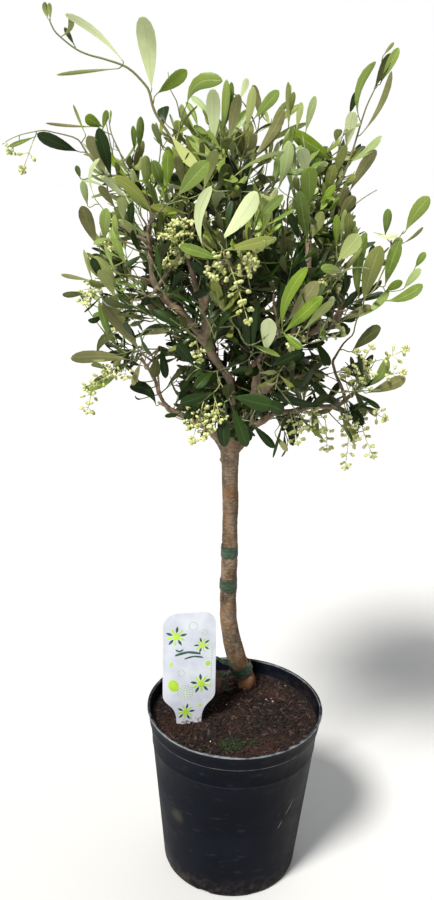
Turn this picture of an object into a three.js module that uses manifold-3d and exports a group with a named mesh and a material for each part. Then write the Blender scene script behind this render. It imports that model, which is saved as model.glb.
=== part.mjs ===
// A young olive grown as a small standard: one bare leaning stem in a round nursery pot, with an
// open crown of boughs, leaf masses and long loose shoots. Millimetres, +Z up. The origin is the
// centre of the pot's flat underside, -Y is the side that the plant label faces.

import * as THREE from "three";
import { mergeVertices } from "three/addons/utils/BufferGeometryUtils.js";
import Module from "manifold-3d";

const wasm = await Module();
wasm.setup();

// ---------------------------------------------------------------- driving dimensions

const GAP = 0.35; // clearance between pieces that touch on the real plant

const POT = {
  height: 216,
  rim: 105, // outside radius at the lip
  foot: 81.5, // outside radius at the underside
  wall: 1.8,
  floor: 2.4,
  band: 20, // depth of the thickened band under the lip
  bandStep: 1.3, // how far the band stands out from the body
  lip: 1.2, // how far the lip's bead stands out from the band
  corner: 5, // rounding between side and underside
  sides: 28,
};
const DRAIN = { notches: 8, width: 16, reach: 6, height: 5, holes: 4, holeRadius: 7, holeRing: 48 };
const SOIL_TOP = 199;
const SOIL_DISH = 2.5; // how far the middle of the soil lies below its edge

// The stem, from its flat cut on the soil to the fork: [x, y, z, radius].
const STEM = [
  [17, 66, SOIL_TOP - SOIL_DISH, 15.5],
  [16.3, 65.8, 204, 13.6],
  [13.2, 65, 216, 12.2],
  [1.5, 62, 242, 11.5],
  [-5, 60, 268, 10.3],
  [-11, 57, 306, 9.5],
  [-12, 53, 377, 8.8],
  [-13, 50, 431, 8.4],
  [-14.6, 48, 482, 8.8],
  [-16, 46, 515, 9.8],
  [-16.5, 45.5, 532, 9.2],
];

// The boughs, thickest first: [x, y, z, radius] from the fork, or from the bough that carries
// them, to just inside the mass of leaves where each one ends.
const BOUGHS = {
  bough_centre: [
    [-16, 45, 526, 8.2],
    [-15, 45, 562, 6.4],
    [-17, 44, 598, 5.6],
    [-29, 42, 620, 5.2],
    [-40, 40, 638, 4.9],
    [-47, 38, 662, 4.5],
    [-53, 36, 692, 4.2],
    [-63, 34, 722, 3.8],
    [-73, 32, 756, 3.2],
  ],
  bough_right: [
    [-12, 46, 526, 7.8],
    [0, 44, 556, 6],
    [9, 42, 592, 5.2],
    [13, 38, 630, 4.8],
    [38, 33, 653, 4.4],
    [62, 29, 662, 4],
    [88, 26, 680, 3.6],
    [100, 25, 698, 3.2],
  ],
  bough_low_left: [
    [-20, 46, 524, 7],
    [-43, 43, 549, 5.2],
    [-73, 39, 564, 4.4],
    [-90, 35, 576, 4],
    [-102, 32, 606, 3.6],
    [-116, 30, 630, 3.2],
  ],
  bough_low_right: [
    [-10, 44, 526, 7],
    [16, 39, 560, 5.2],
    [48, 31, 576, 4.6],
    [73, 26, 582, 4.2],
    [100, 21, 588, 3.8],
    [118, 18, 602, 3.2],
  ],
  bough_left: [
    [-34, 41, 627, 5],
    [-48, 38, 648, 4.4],
    [-70, 35, 678, 4],
    [-94, 32, 698, 3.7],
    [-106, 30, 725, 3.4],
    [-108, 28, 764, 3],
  ],
  bough_back: [
    [-15, 50, 526, 7],
    [-9, 74, 575, 5.4],
    [-3, 94, 625, 4.6],
    [0, 112, 668, 4],
    [0, 128, 706, 3.4],
  ],
  bough_back_left: [
    [-19, 49, 524, 6.4],
    [-32, 82, 575, 4.8],
    [-60, 106, 630, 4.2],
    [-90, 116, 692, 3.4],
  ],
  bough_back_right: [
    [-11, 49, 526, 6.4],
    [20, 72, 585, 4.8],
    [56, 96, 635, 4.2],
    [82, 114, 690, 3.4],
  ],
  bough_front: [
    [-46, 39, 654, 4.4],
    [-40, 12, 684, 4],
    [-32, -18, 716, 3.6],
    [-26, -44, 742, 3],
  ],
  bough_low_front: [
    [8, 40, 590, 4.6],
    [17, 14, 604, 4],
    [26, -14, 618, 3.4],
  ],
  bough_top: [
    [-50, 37, 680, 3.9],
    [-40, 38, 722, 3.6],
    [-29, 37, 764, 3.3],
    [-22, 36, 808, 3],
  ],
  bough_upper_right: [
    [42, 32, 656, 4],
    [50, 12, 690, 3.7],
    [55, 6, 725, 3.4],
    [58, 14, 764, 3],
  ],
};

// The leaf masses: middle, half sizes, how strongly the surface is lobed, and how finely it is
// faceted. Where two would meet, the later one is cut back from the earlier one.
const MASSES = {
  leaves_heart: { at: [20, 62, 712], half: [56, 54, 70], lobes: 0.16, facets: 2 },
  leaves_top: { at: [-18, 35, 850], half: [72, 62, 64], lobes: 0.2, facets: 3 },
  leaves_upper_left: { at: [-108, 30, 806], half: [64, 58, 62], lobes: 0.2, facets: 2 },
  leaves_upper_right: { at: [60, 30, 812], half: [52, 56, 70], lobes: 0.2, facets: 2 },
  leaves_front: { at: [-14, -66, 742], half: [76, 50, 76], lobes: 0.18, facets: 3 },
  leaves_back: { at: [-5, 148, 752], half: [80, 50, 82], lobes: 0.18, facets: 2 },
  leaves_right: { at: [112, 22, 728], half: [52, 56, 44], lobes: 0.22, facets: 2 },
  leaves_left: { at: [-142, 34, 706], half: [38, 56, 60], lobes: 0.22, facets: 2 },
  leaves_front_left: { at: [-98, -52, 716], half: [50, 46, 58], lobes: 0.2, facets: 2 },
  leaves_front_right: { at: [64, -56, 716], half: [46, 46, 54], lobes: 0.2, facets: 2 },
  leaves_back_left: { at: [-104, 118, 736], half: [54, 50, 70], lobes: 0.2, facets: 2 },
  leaves_back_right: { at: [94, 122, 736], half: [56, 50, 68], lobes: 0.2, facets: 2 },
  leaves_low_left: { at: [-137, 28, 632], half: [44, 44, 30], lobes: 0.24, facets: 2 },
  leaves_low_right: { at: [128, 14, 612], half: [42, 44, 38], lobes: 0.24, facets: 2 },
  leaves_low_front: { at: [34, -40, 622], half: [58, 40, 36], lobes: 0.24, facets: 2 },
  leaves_low_back: { at: [16, 136, 622], half: [66, 40, 38], lobes: 0.24, facets: 2 },
  leaves_low_middle: { at: [-56, 66, 596], half: [30, 24, 36], lobes: 0.24, facets: 2 },
  leaves_fork: { at: [5, 12, 560], half: [34, 24, 30], lobes: 0.2, facets: 2 },
};

// Long shoots and hanging flower sprays that leave the masses: [x, y, z, radius].
const SHOOTS = {
  shoot_top_left: [
    [-80, 26, 846, 6],
    [-97, 24, 877, 8],
    [-109, 22, 902, 10],
    [-131, 18, 926, 9],
    [-167, 13, 936, 7],
    [-190, 9, 951, 8],
    [-205, 6, 977, 4],
  ],
  shoot_top_blade: [
    [-108, 22, 908, 4],
    [-115, 20, 940, 9],
    [-117, 18, 972, 5],
  ],
  shoot_upper_left: [
    [-132, 26, 846, 9],
    [-145, 24, 868, 9],
    [-151, 22, 888, 4],
  ],
  shoot_left_arch: [
    [-140, 28, 826, 7],
    [-168, 26, 854, 8],
    [-196, 23, 864, 8],
    [-226, 21, 858, 8],
    [-254, 18, 848, 4],
  ],
  shoot_right_top: [
    [82, 24, 828, 8],
    [102, 20, 866, 12],
    [115, 16, 905, 12],
    [129, 12, 948, 5],
  ],
  shoot_right_far: [
    [134, 20, 742, 8],
    [158, 18, 774, 12],
    [179, 16, 806, 6],
  ],
  shoot_right_mid: [
    [130, 18, 690, 8],
    [154, 18, 712, 12],
    [176, 18, 742, 6],
  ],
  shoot_right_upper: [
    [88, 22, 786, 8],
    [106, 20, 820, 10],
    [118, 18, 856, 5],
  ],
  shoot_top_middle: [
    [-26, 34, 884, 10],
    [-20, 32, 905, 10],
    [-14, 30, 925, 5],
  ],
  shoot_top_back: [
    [10, 128, 806, 10],
    [16, 148, 850, 11],
    [22, 156, 892, 5],
  ],
  shoot_top_spear: [
    [38, 32, 856, 10],
    [34, 30, 890, 9],
    [30, 28, 921, 5],
  ],
  shoot_back_right: [
    [112, 140, 764, 10],
    [132, 164, 796, 11],
    [146, 180, 828, 5],
  ],
  shoot_back_left: [
    [-112, 136, 770, 10],
    [-136, 160, 800, 11],
    [-152, 176, 832, 5],
  ],
  shoot_back_far: [
    [-20, 170, 720, 10],
    [-28, 198, 712, 10],
    [-34, 216, 694, 5],
  ],
  shoot_front_left: [
    [-100, -78, 734, 10],
    [-118, -104, 762, 10],
    [-128, -120, 794, 5],
  ],
  shoot_front_right: [
    [78, -80, 724, 10],
    [92, -108, 748, 10],
    [100, -126, 776, 5],
  ],
  shoot_front_middle: [
    [-6, -94, 770, 10],
    [-2, -118, 800, 10],
    [4, -134, 832, 5],
  ],
  shoot_left_blade: [
    [-160, 28, 706, 6],
    [-182, 24, 714, 7],
    [-204, 20, 718, 4],
  ],
  shoot_low_left_blade: [
    [-156, 22, 632, 6],
    [-176, 20, 634, 8],
    [-196, 18, 630, 4],
  ],
  flowers_low_left: [
    [-150, 26, 616, 8],
    [-164, 25, 598, 10],
    [-172, 24, 572, 5],
  ],
  shoot_low_right_blade: [
    [146, 16, 604, 7],
    [160, 14, 610, 8],
    [177, 12, 616, 4],
  ],
  flowers_low_right: [
    [124, 16, 594, 9],
    [121, 14, 560, 13],
    [116, 12, 522, 5],
  ],
  flowers_low_front: [
    [68, -46, 606, 8],
    [76, -52, 584, 10],
    [78, -54, 558, 5],
  ],
};

const LABEL = {
  foot: [-54.5, -16], // where it goes into the soil
  width: 63,
  height: 142, // above the soil
  depth: 20, // in the soil
  neck: 30, // width at the soil
  shoulder: 104, // height at which the sides start to draw in towards the neck
  corner: 11,
  thick: 0.8,
  turn: 12, // degrees about the upright
  lean: 4, // degrees backwards
};

// Bands of tying tape round the stem: height of the middle, and width.
const TAPES = {
  tape_upper: { z: 395, width: 15 },
  tape_lower: { z: 349, width: 15 },
  tape_foot: { z: 227, width: 12 },
};
const TAPE_THICK = 1;

// ---------------------------------------------------------------- solids

// A closed geometry as a manifold solid.
function solidOf(geometry) {
  const bare = geometry.clone();
  bare.deleteAttribute("normal");
  bare.deleteAttribute("uv");
  const merged = mergeVertices(bare, 1e-3);
  return new wasm.Manifold(
    new wasm.Mesh({
      numProp: 3,
      vertProperties: merged.attributes.position.array,
      triVerts: new Uint32Array(merged.index.array),
    }),
  );
}

// A manifold solid as a geometry with flat faces.
function geometryOf(solid) {
  const { numProp, vertProperties, triVerts } = solid.getMesh();
  const positions = new Float32Array((vertProperties.length / numProp) * 3);
  for (let i = 0; i < positions.length; i++) {
    positions[i] = vertProperties[Math.floor(i / 3) * numProp + (i % 3)];
  }
  const indexed = new THREE.BufferGeometry();
  indexed.setAttribute("position", new THREE.BufferAttribute(positions, 3));
  indexed.setIndex(new THREE.BufferAttribute(new Uint32Array(triVerts), 1));
  const flat = indexed.toNonIndexed();
  flat.computeVertexNormals();
  return flat;
}

// What is left of a solid when its neighbours are cut away: its largest body.
function cutBack(solid, neighbours) {
  let left = solid;
  for (const neighbour of neighbours) left = left.subtract(neighbour);
  return left.decompose().reduce((a, b) => (b.volume() > a.volume() ? b : a));
}

// Repeatable numbers from 0 to 1 for one seed.
function randomFrom(seed) {
  let state = seed * 2654435761;
  return () => {
    state = (state + 0x6d2b79f5) >>> 0;
    let t = Math.imul(state ^ (state >>> 15), state | 1);
    t ^= t + Math.imul(t ^ (t >>> 7), t | 61);
    return ((t ^ (t >>> 14)) >>> 0) / 4294967296;
  };
}

// A profile of [radius, height] turned about +Z, closed on the axis or on itself.
function turned(profile, sides) {
  const points = profile.map(([r, z]) => new THREE.Vector2(r, z));
  return new THREE.LatheGeometry(points, sides).rotateX(Math.PI / 2);
}

// The smooth line through [x, y, z, radius] stations, with the radius at each place along it.
function courseOf(stations) {
  const curve = new THREE.CatmullRomCurve3(stations.map(([x, y, z]) => new THREE.Vector3(x, y, z)));
  const radiusAt = (u) => {
    const place = u * (stations.length - 1);
    const i = Math.min(Math.floor(place), stations.length - 2);
    return THREE.MathUtils.lerp(stations[i][3], stations[i + 1][3], place - i);
  };
  return { curve, radiusAt };
}

// A profile of [radius, place from 0 to 1] turned about the curve instead of a straight axis.
function bent(curve, profile, sides) {
  const geometry = new THREE.LatheGeometry(profile.map(([r, u]) => new THREE.Vector2(r, u)), sides);
  const position = geometry.attributes.position;
  const side = new THREE.Vector3(1, 0, 0);
  for (let i = 0; i < position.count; i++) {
    const u = position.getY(i);
    const along = curve.getTangent(u);
    const across = side.clone().addScaledVector(along, -side.dot(along)).normalize();
    const third = across.clone().cross(along);
    const place = curve
      .getPoint(u)
      .addScaledVector(across, position.getX(i))
      .addScaledVector(third, position.getZ(i));
    position.setXYZ(i, place.x, place.y, place.z);
  }
  return geometry;
}

// A round tapering limb with closed ends.
function limb(stations, { sides = 6, steps = 8, grow = 0 } = {}) {
  const { curve, radiusAt } = courseOf(stations);
  const profile = [[0, 0]];
  for (let i = 0; i <= steps; i++) profile.push([radiusAt(i / steps) + grow, i / steps]);
  profile.push([0, 1]);
  return solidOf(bent(curve, profile, sides));
}

// A loose shoot clothed in leaves: a limb that swells and narrows a little along its length.
function shoot(stations, seed, grow = 0) {
  const random = randomFrom(seed);
  const { curve, radiusAt } = courseOf(stations);
  const steps = 2 * (stations.length - 1);
  const profile = [[0, 0]];
  for (let i = 0; i <= steps; i++) {
    const swell = 0.85 + 0.3 * random();
    profile.push([radiusAt(i / steps) * swell + grow, i / steps]);
  }
  profile.push([0, 1]);
  return solidOf(bent(curve, profile, 5));
}

// One mass of leaves: a ball drawn out to its half sizes, its surface pushed in and out by broad
// waves and a finer ripple that its seed sets.
function leafMass({ at, half, lobes, facets }, seed, grow = 0) {
  const random = randomFrom(seed);
  const WAVES = 5;
  const waves = Array.from({ length: WAVES }, (_, i) => ({
    way: new THREE.Vector3(random() - 0.5, random() - 0.5, random() - 0.5).normalize(),
    pitch: 2.2 + 1.3 * i,
    phase: random() * 2 * Math.PI,
  }));
  const ball = new THREE.IcosahedronGeometry(1, facets);
  const position = ball.attributes.position;
  const reach = (half[0] + half[1] + half[2]) / 3;
  const point = new THREE.Vector3();
  for (let i = 0; i < position.count; i++) {
    point.fromBufferAttribute(position, i).normalize();
    let bulge = 0;
    for (const { way, pitch, phase } of waves) bulge += Math.sin(point.dot(way) * pitch + phase);
    const radius = 1 + (lobes * bulge) / Math.sqrt(WAVES) + grow / reach;
    point.multiplyScalar(radius).multiply(new THREE.Vector3(...half)).add(new THREE.Vector3(...at));
    position.setXYZ(i, point.x, point.y, point.z);
  }
  return solidOf(ball);
}

// ---------------------------------------------------------------- pot and soil

// The outside radius of the plain body at a height.
const bodyRadius = (z) => THREE.MathUtils.lerp(POT.foot, POT.rim - POT.bandStep - POT.lip, z / POT.height);

function potShell() {
  const { height, wall, floor, band, bandStep, lip, corner } = POT;
  const bandFoot = height - band;
  const outside = [
    [0, 0],
    [POT.foot - corner, 0],
    [POT.foot - corner * 0.3, corner * 0.3],
    [bodyRadius(corner), corner],
    [bodyRadius(bandFoot), bandFoot],
    [bodyRadius(bandFoot) + bandStep, bandFoot + 1.2],
    [bodyRadius(height - 4) + bandStep, height - 4],
    [POT.rim, height - 2.6],
    [POT.rim, height - 0.8],
    [POT.rim - 0.8, height],
  ];
  const inside = [
    [POT.rim - lip - wall, height],
    [bodyRadius(bandFoot) + bandStep - wall, bandFoot + 1.2],
    [bodyRadius(bandFoot) - wall, bandFoot - 1],
    [bodyRadius(floor) - wall, floor + corner * 0.4],
    [bodyRadius(floor) - wall - corner * 0.4, floor],
    [0, floor],
  ];
  let shell = solidOf(turned([...outside, ...inside], POT.sides));
  for (let i = 0; i < DRAIN.notches; i++) {
    const notch = new THREE.BoxGeometry(DRAIN.width, 2 * DRAIN.reach, 2 * DRAIN.height);
    notch.translate(0, -POT.foot, 0).rotateZ(((i + 0.5) / DRAIN.notches) * 2 * Math.PI);
    shell = shell.subtract(solidOf(notch));
  }
  for (let i = 0; i < DRAIN.holes; i++) {
    const hole = new THREE.CylinderGeometry(DRAIN.holeRadius, DRAIN.holeRadius, 4 * floor, 8);
    hole.rotateX(Math.PI / 2).translate(0, DRAIN.holeRing, 0).rotateZ((i / DRAIN.holes) * 2 * Math.PI);
    shell = shell.subtract(solidOf(hole));
  }
  return shell;
}

function soilPlug() {
  const { wall, floor, band, bandStep, corner } = POT;
  const bandFoot = POT.height - band;
  return solidOf(
    turned(
      [
        [0, floor + GAP],
        [bodyRadius(floor) - wall - corner * 0.4 - GAP, floor + GAP],
        [bodyRadius(floor) - wall - GAP, floor + corner * 0.4 + GAP],
        [bodyRadius(bandFoot) - wall - GAP, bandFoot - 1],
        [bodyRadius(bandFoot) + bandStep - wall - GAP, bandFoot + 1.4],
        [bodyRadius(SOIL_TOP) + bandStep - wall - GAP, SOIL_TOP],
        [84, SOIL_TOP - SOIL_DISH * 0.4],
        [50, SOIL_TOP - SOIL_DISH],
        [0, SOIL_TOP - SOIL_DISH],
      ],
      POT.sides,
    ),
  );
}

// ---------------------------------------------------------------- label and tape

// The label's outline, upright, from below the soil to its clipped top corners.
function labelPlate(grow = 0) {
  const { width, height, depth, neck, shoulder, corner, thick, turn, lean } = LABEL;
  const w = width / 2 + grow;
  const n = neck / 2 + grow;
  const low = -depth - grow;
  const shape = new THREE.Shape();
  shape.moveTo(-n, low).lineTo(n, low).lineTo(n, 2);
  shape.bezierCurveTo(n, height - shoulder - 12, w, 24, w, height - shoulder);
  shape.lineTo(w, height - corner).quadraticCurveTo(w - 2, height - 2, w - corner, height + grow);
  shape.lineTo(corner - w, height + grow).quadraticCurveTo(2 - w, height - 2, -w, height - corner);
  shape.lineTo(-w, height - shoulder).bezierCurveTo(-w, 24, -n, height - shoulder - 12, -n, 2);
  const plate = new THREE.ExtrudeGeometry(shape, {
    depth: thick + 2 * grow,
    bevelEnabled: false,
    curveSegments: 4,
  });
  plate.translate(0, 0, -thick / 2 - grow).rotateX(Math.PI / 2 - THREE.MathUtils.degToRad(lean));
  plate.rotateZ(THREE.MathUtils.degToRad(turn)).translate(...LABEL.foot, SOIL_TOP);
  return solidOf(plate);
}

// A band of tape round the stem, a thin closed ring that follows the stem's lean.
function tapeBand({ z, width }) {
  const { curve, radiusAt } = courseOf(STEM);
  const [low, high] = [z - width / 2, z + width / 2].map((level) => placeAtHeight(curve, level));
  const inner = radiusAt(low) + 2 * GAP;
  const outer = inner + TAPE_THICK;
  const ring = [
    [inner, low],
    [outer, low],
    [outer, high],
    [inner, high],
    [inner, low],
  ];
  return solidOf(bent(curve, ring, 10));
}

// Where along a rising curve it reaches a height.
function placeAtHeight(curve, z) {
  let [low, high] = [0, 1];
  for (let i = 0; i < 24; i++) {
    const middle = (low + high) / 2;
    if (curve.getPoint(middle).z < z) low = middle;
    else high = middle;
  }
  return low;
}

// ---------------------------------------------------------------- assembly

const BARK = new THREE.MeshStandardMaterial({ color: 0x7a604c, roughness: 0.9 });
const LEAF = new THREE.MeshStandardMaterial({ color: 0x4f7a2a, roughness: 0.6 });
const FLOWER = new THREE.MeshStandardMaterial({ color: 0xc8cc7a, roughness: 0.7 });
const PLASTIC = new THREE.MeshStandardMaterial({ color: 0x16191c, roughness: 0.5 });
const COMPOST = new THREE.MeshStandardMaterial({ color: 0x3c2622, roughness: 1 });
const CARD = new THREE.MeshStandardMaterial({ color: 0xf0f2ee, roughness: 0.45 });
const TAPE = new THREE.MeshStandardMaterial({ color: 0x4a6b52, roughness: 0.6 });

const plant = new THREE.Group();

function add(name, solid, material) {
  const mesh = new THREE.Mesh(geometryOf(solid), material);
  mesh.name = name;
  plant.add(mesh);
}

const STEM_DETAIL = { sides: 10, steps: 14 };
const stem = limb(STEM, STEM_DETAIL);
const fatStem = limb(STEM, { ...STEM_DETAIL, grow: GAP });

add("pot", potShell(), PLASTIC);
add("soil", soilPlug().subtract(fatStem).subtract(labelPlate(GAP)), COMPOST);
add("plant_label", labelPlate(), CARD);
add("trunk", stem, BARK);
for (const [name, band] of Object.entries(TAPES)) add(name, tapeBand(band), TAPE);

// Each limb and mass is cut back from all that were made before it.
const made = [fatStem];

for (const [name, stations] of Object.entries(BOUGHS)) {
  add(name, cutBack(limb(stations), made), BARK);
  made.push(limb(stations, { grow: GAP }));
}
Object.entries(MASSES).forEach(([name, mass], i) => {
  add(name, cutBack(leafMass(mass, i + 1), made), LEAF);
  made.push(leafMass(mass, i + 1, GAP * 1.6));
});
Object.entries(SHOOTS).forEach(([name, stations], i) => {
  const material = name.startsWith("flowers") ? FLOWER : LEAF;
  add(name, cutBack(shoot(stations, i + 40), made), material);
  made.push(shoot(stations, i + 40, GAP));
});

export default plant;
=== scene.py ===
"""A young olive grown as a small standard, in a round nursery pot with a plant label.

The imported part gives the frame. Each of its solids is replaced here by a finer piece: bark over
the stem and boughs, twigs, leaves and flower buds that grow on from them, a moulded pot, loose
compost, a printed label and wound tape. Sizes are in millimetres until a mesh is made, and the
meshes and the materials' patterns are in metres.
"""

import math

import bpy
import numpy as np
from mathutils import Matrix, Vector, noise


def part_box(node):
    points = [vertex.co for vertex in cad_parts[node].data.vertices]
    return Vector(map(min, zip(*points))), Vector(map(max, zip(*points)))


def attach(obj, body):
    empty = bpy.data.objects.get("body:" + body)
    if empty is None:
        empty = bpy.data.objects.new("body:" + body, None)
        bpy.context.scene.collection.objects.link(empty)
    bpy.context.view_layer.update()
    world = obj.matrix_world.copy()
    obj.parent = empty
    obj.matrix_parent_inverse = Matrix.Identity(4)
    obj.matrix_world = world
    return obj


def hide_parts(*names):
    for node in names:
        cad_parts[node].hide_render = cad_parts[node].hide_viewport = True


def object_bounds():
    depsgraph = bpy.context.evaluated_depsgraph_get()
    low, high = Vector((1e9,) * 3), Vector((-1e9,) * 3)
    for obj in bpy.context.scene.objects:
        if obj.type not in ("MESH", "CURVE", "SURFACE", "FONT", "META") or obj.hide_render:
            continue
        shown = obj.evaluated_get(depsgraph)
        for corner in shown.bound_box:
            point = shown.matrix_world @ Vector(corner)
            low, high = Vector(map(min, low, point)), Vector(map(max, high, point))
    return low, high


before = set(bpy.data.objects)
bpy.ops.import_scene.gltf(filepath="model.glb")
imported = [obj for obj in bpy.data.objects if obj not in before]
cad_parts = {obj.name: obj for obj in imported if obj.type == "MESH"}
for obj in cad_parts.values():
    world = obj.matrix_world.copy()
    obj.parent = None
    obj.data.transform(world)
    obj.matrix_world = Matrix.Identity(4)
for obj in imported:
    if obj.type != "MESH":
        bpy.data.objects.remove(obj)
cad_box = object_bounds()

MM = 0.001
PER_MM = 1 / MM  # scale of a pattern whose blotches are a millimetre across
draw = np.random.default_rng(2026)

# ------------------------------------------------------------------ camera

CAMERA_AT = (-0.031, -0.982, 0.878)
CAMERA_PITCH = math.radians(19.1)  # looking down
CAMERA_ROLL = math.radians(1.79)
CAMERA_LENS, CAMERA_SENSOR = 38.0, 36.0
VIEWPOINT = np.array(CAMERA_AT) / MM
KEY_FROM = (-0.6, -0.75, 1.3)  # the way to the main lamp


def set_camera():
    """One camera in front of the plant and a little above it, looking down."""
    ahead = Vector((0, math.cos(CAMERA_PITCH), -math.sin(CAMERA_PITCH)))
    level = Vector((1, 0, 0))
    upward = level.cross(ahead)
    right = level * math.cos(CAMERA_ROLL) + upward * math.sin(CAMERA_ROLL)
    upward = right.cross(ahead)
    camera = bpy.data.objects.new("camera", bpy.data.cameras.new("camera"))
    camera.data.lens = CAMERA_LENS
    camera.data.sensor_width = CAMERA_SENSOR
    camera.data.clip_start = 0.05
    turn = Matrix((right, upward, -ahead)).transposed()
    camera.matrix_world = Matrix.Translation(CAMERA_AT) @ turn.to_4x4()
    bpy.context.scene.collection.objects.link(camera)
    bpy.context.scene.camera = camera


set_camera()

# ------------------------------------------------------------------ materials

USUAL = {"Mix": {"data_type": "RGBA"}, "MapRange": {"interpolation_type": "SMOOTHSTEP"}}
MIXED_COLOUR = 2  # the number of a Mix node's colour output


def tint(code):
    """An sRGB hex colour as linear values."""
    parts = [int(code[i : i + 2], 16) / 255 for i in (1, 3, 5)]
    return (*(c / 12.92 if c <= 0.04045 else ((c + 0.055) / 1.055) ** 2.4 for c in parts), 1.0)


def add(tree, kind, inputs=(), out=0, stops=None, **settings):
    """Adds one node and returns its output called out, or the node when out is None. inputs gives
    values, hex colours, or sockets to link, in their order or by an input's name or number. stops
    gives a colour ramp's positions and hex colours."""
    made = tree.nodes.new(kind if "Node" in kind else "ShaderNode" + kind)
    for key, value in {**USUAL.get(kind, {}), **settings}.items():
        setattr(made, key, value)
    named = inputs if isinstance(inputs, dict) else dict(enumerate(inputs))
    for key, value in named.items():
        if isinstance(value, bpy.types.NodeSocket):
            tree.links.new(value, made.inputs[key])
        else:
            made.inputs[key].default_value = tint(value) if str(value).startswith("#") else value
    if stops:
        elements = made.color_ramp.elements
        while len(elements) < len(stops):
            elements.new(0.5)
        for element, (position, code) in zip(elements, stops):
            element.position = position
            element.color = tint(code)
    if out is None:
        return made
    return made.outputs[MIXED_COLOUR if kind == "Mix" else out]


def start_material(name, code, roughness, **shader):
    """A new material with one shader. Returns it, its tree, its shader and the place on the
    object that patterns read."""
    material = bpy.data.materials.new(name)
    material.use_nodes = True
    tree = material.node_tree
    surface = tree.nodes["Principled BSDF"]
    surface.inputs["Base Color"].default_value = tint(code)
    surface.inputs["Roughness"].default_value = roughness
    for key, value in shader.items():
        surface.inputs[key.replace("_", " ").title().replace("Ior", "IOR")].default_value = value
    return material, tree, surface, add(tree, "TexCoord", out="Object")


def patches(tree, place, size_mm, low, high, most=1.0, detail=2, roughness=0.5):
    """Soft patches about size_mm across: a share that rises from 0 to most as a noise goes from
    low to high."""
    cloud = {"Vector": place, "Scale": PER_MM / size_mm, "Detail": detail, "Roughness": roughness}
    return add(tree, "MapRange", [add(tree, "TexNoise", cloud), low, high, 0, most])


def dress(tree, surface, colour, layers, reliefs=()):
    """Lays layers over a colour, each a share and the colour it brings, and links the result to
    the shader, with reliefs over one another, each a height and its depth in millimetres."""
    for share, code in layers:
        colour = add(tree, "Mix", {0: share, 6: colour, 7: code})
    tree.links.new(colour, surface.inputs["Base Color"])
    below = {}
    for height, deep in reliefs:
        below = {"Normal": add(tree, "Bump", {"Height": height, "Distance": deep * MM, **below})}
    for normal in below.values():
        tree.links.new(normal, surface.inputs["Normal"])


SMUDGE_AT = (-0.067, -0.068, 0.103)  # the middle of a dusty smudge on the pot's left
# The pot's pale lines at the band's foot, the bead and the lip, partly wear and partly a painted
# highlight where the edges catch the light: height, half width, strength.
WORN_AND_HIGHLIT_LINES = ((0.1974, 0.0007, 0.8), (0.1712, 0.0006, 0.08), (0.2158, 0.0011, 0.9))
SCRATCH_PLANE, SCRATCH_OFF = (0.878, 0.0, -0.479), 0.0015  # a plane through the scratch


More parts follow.
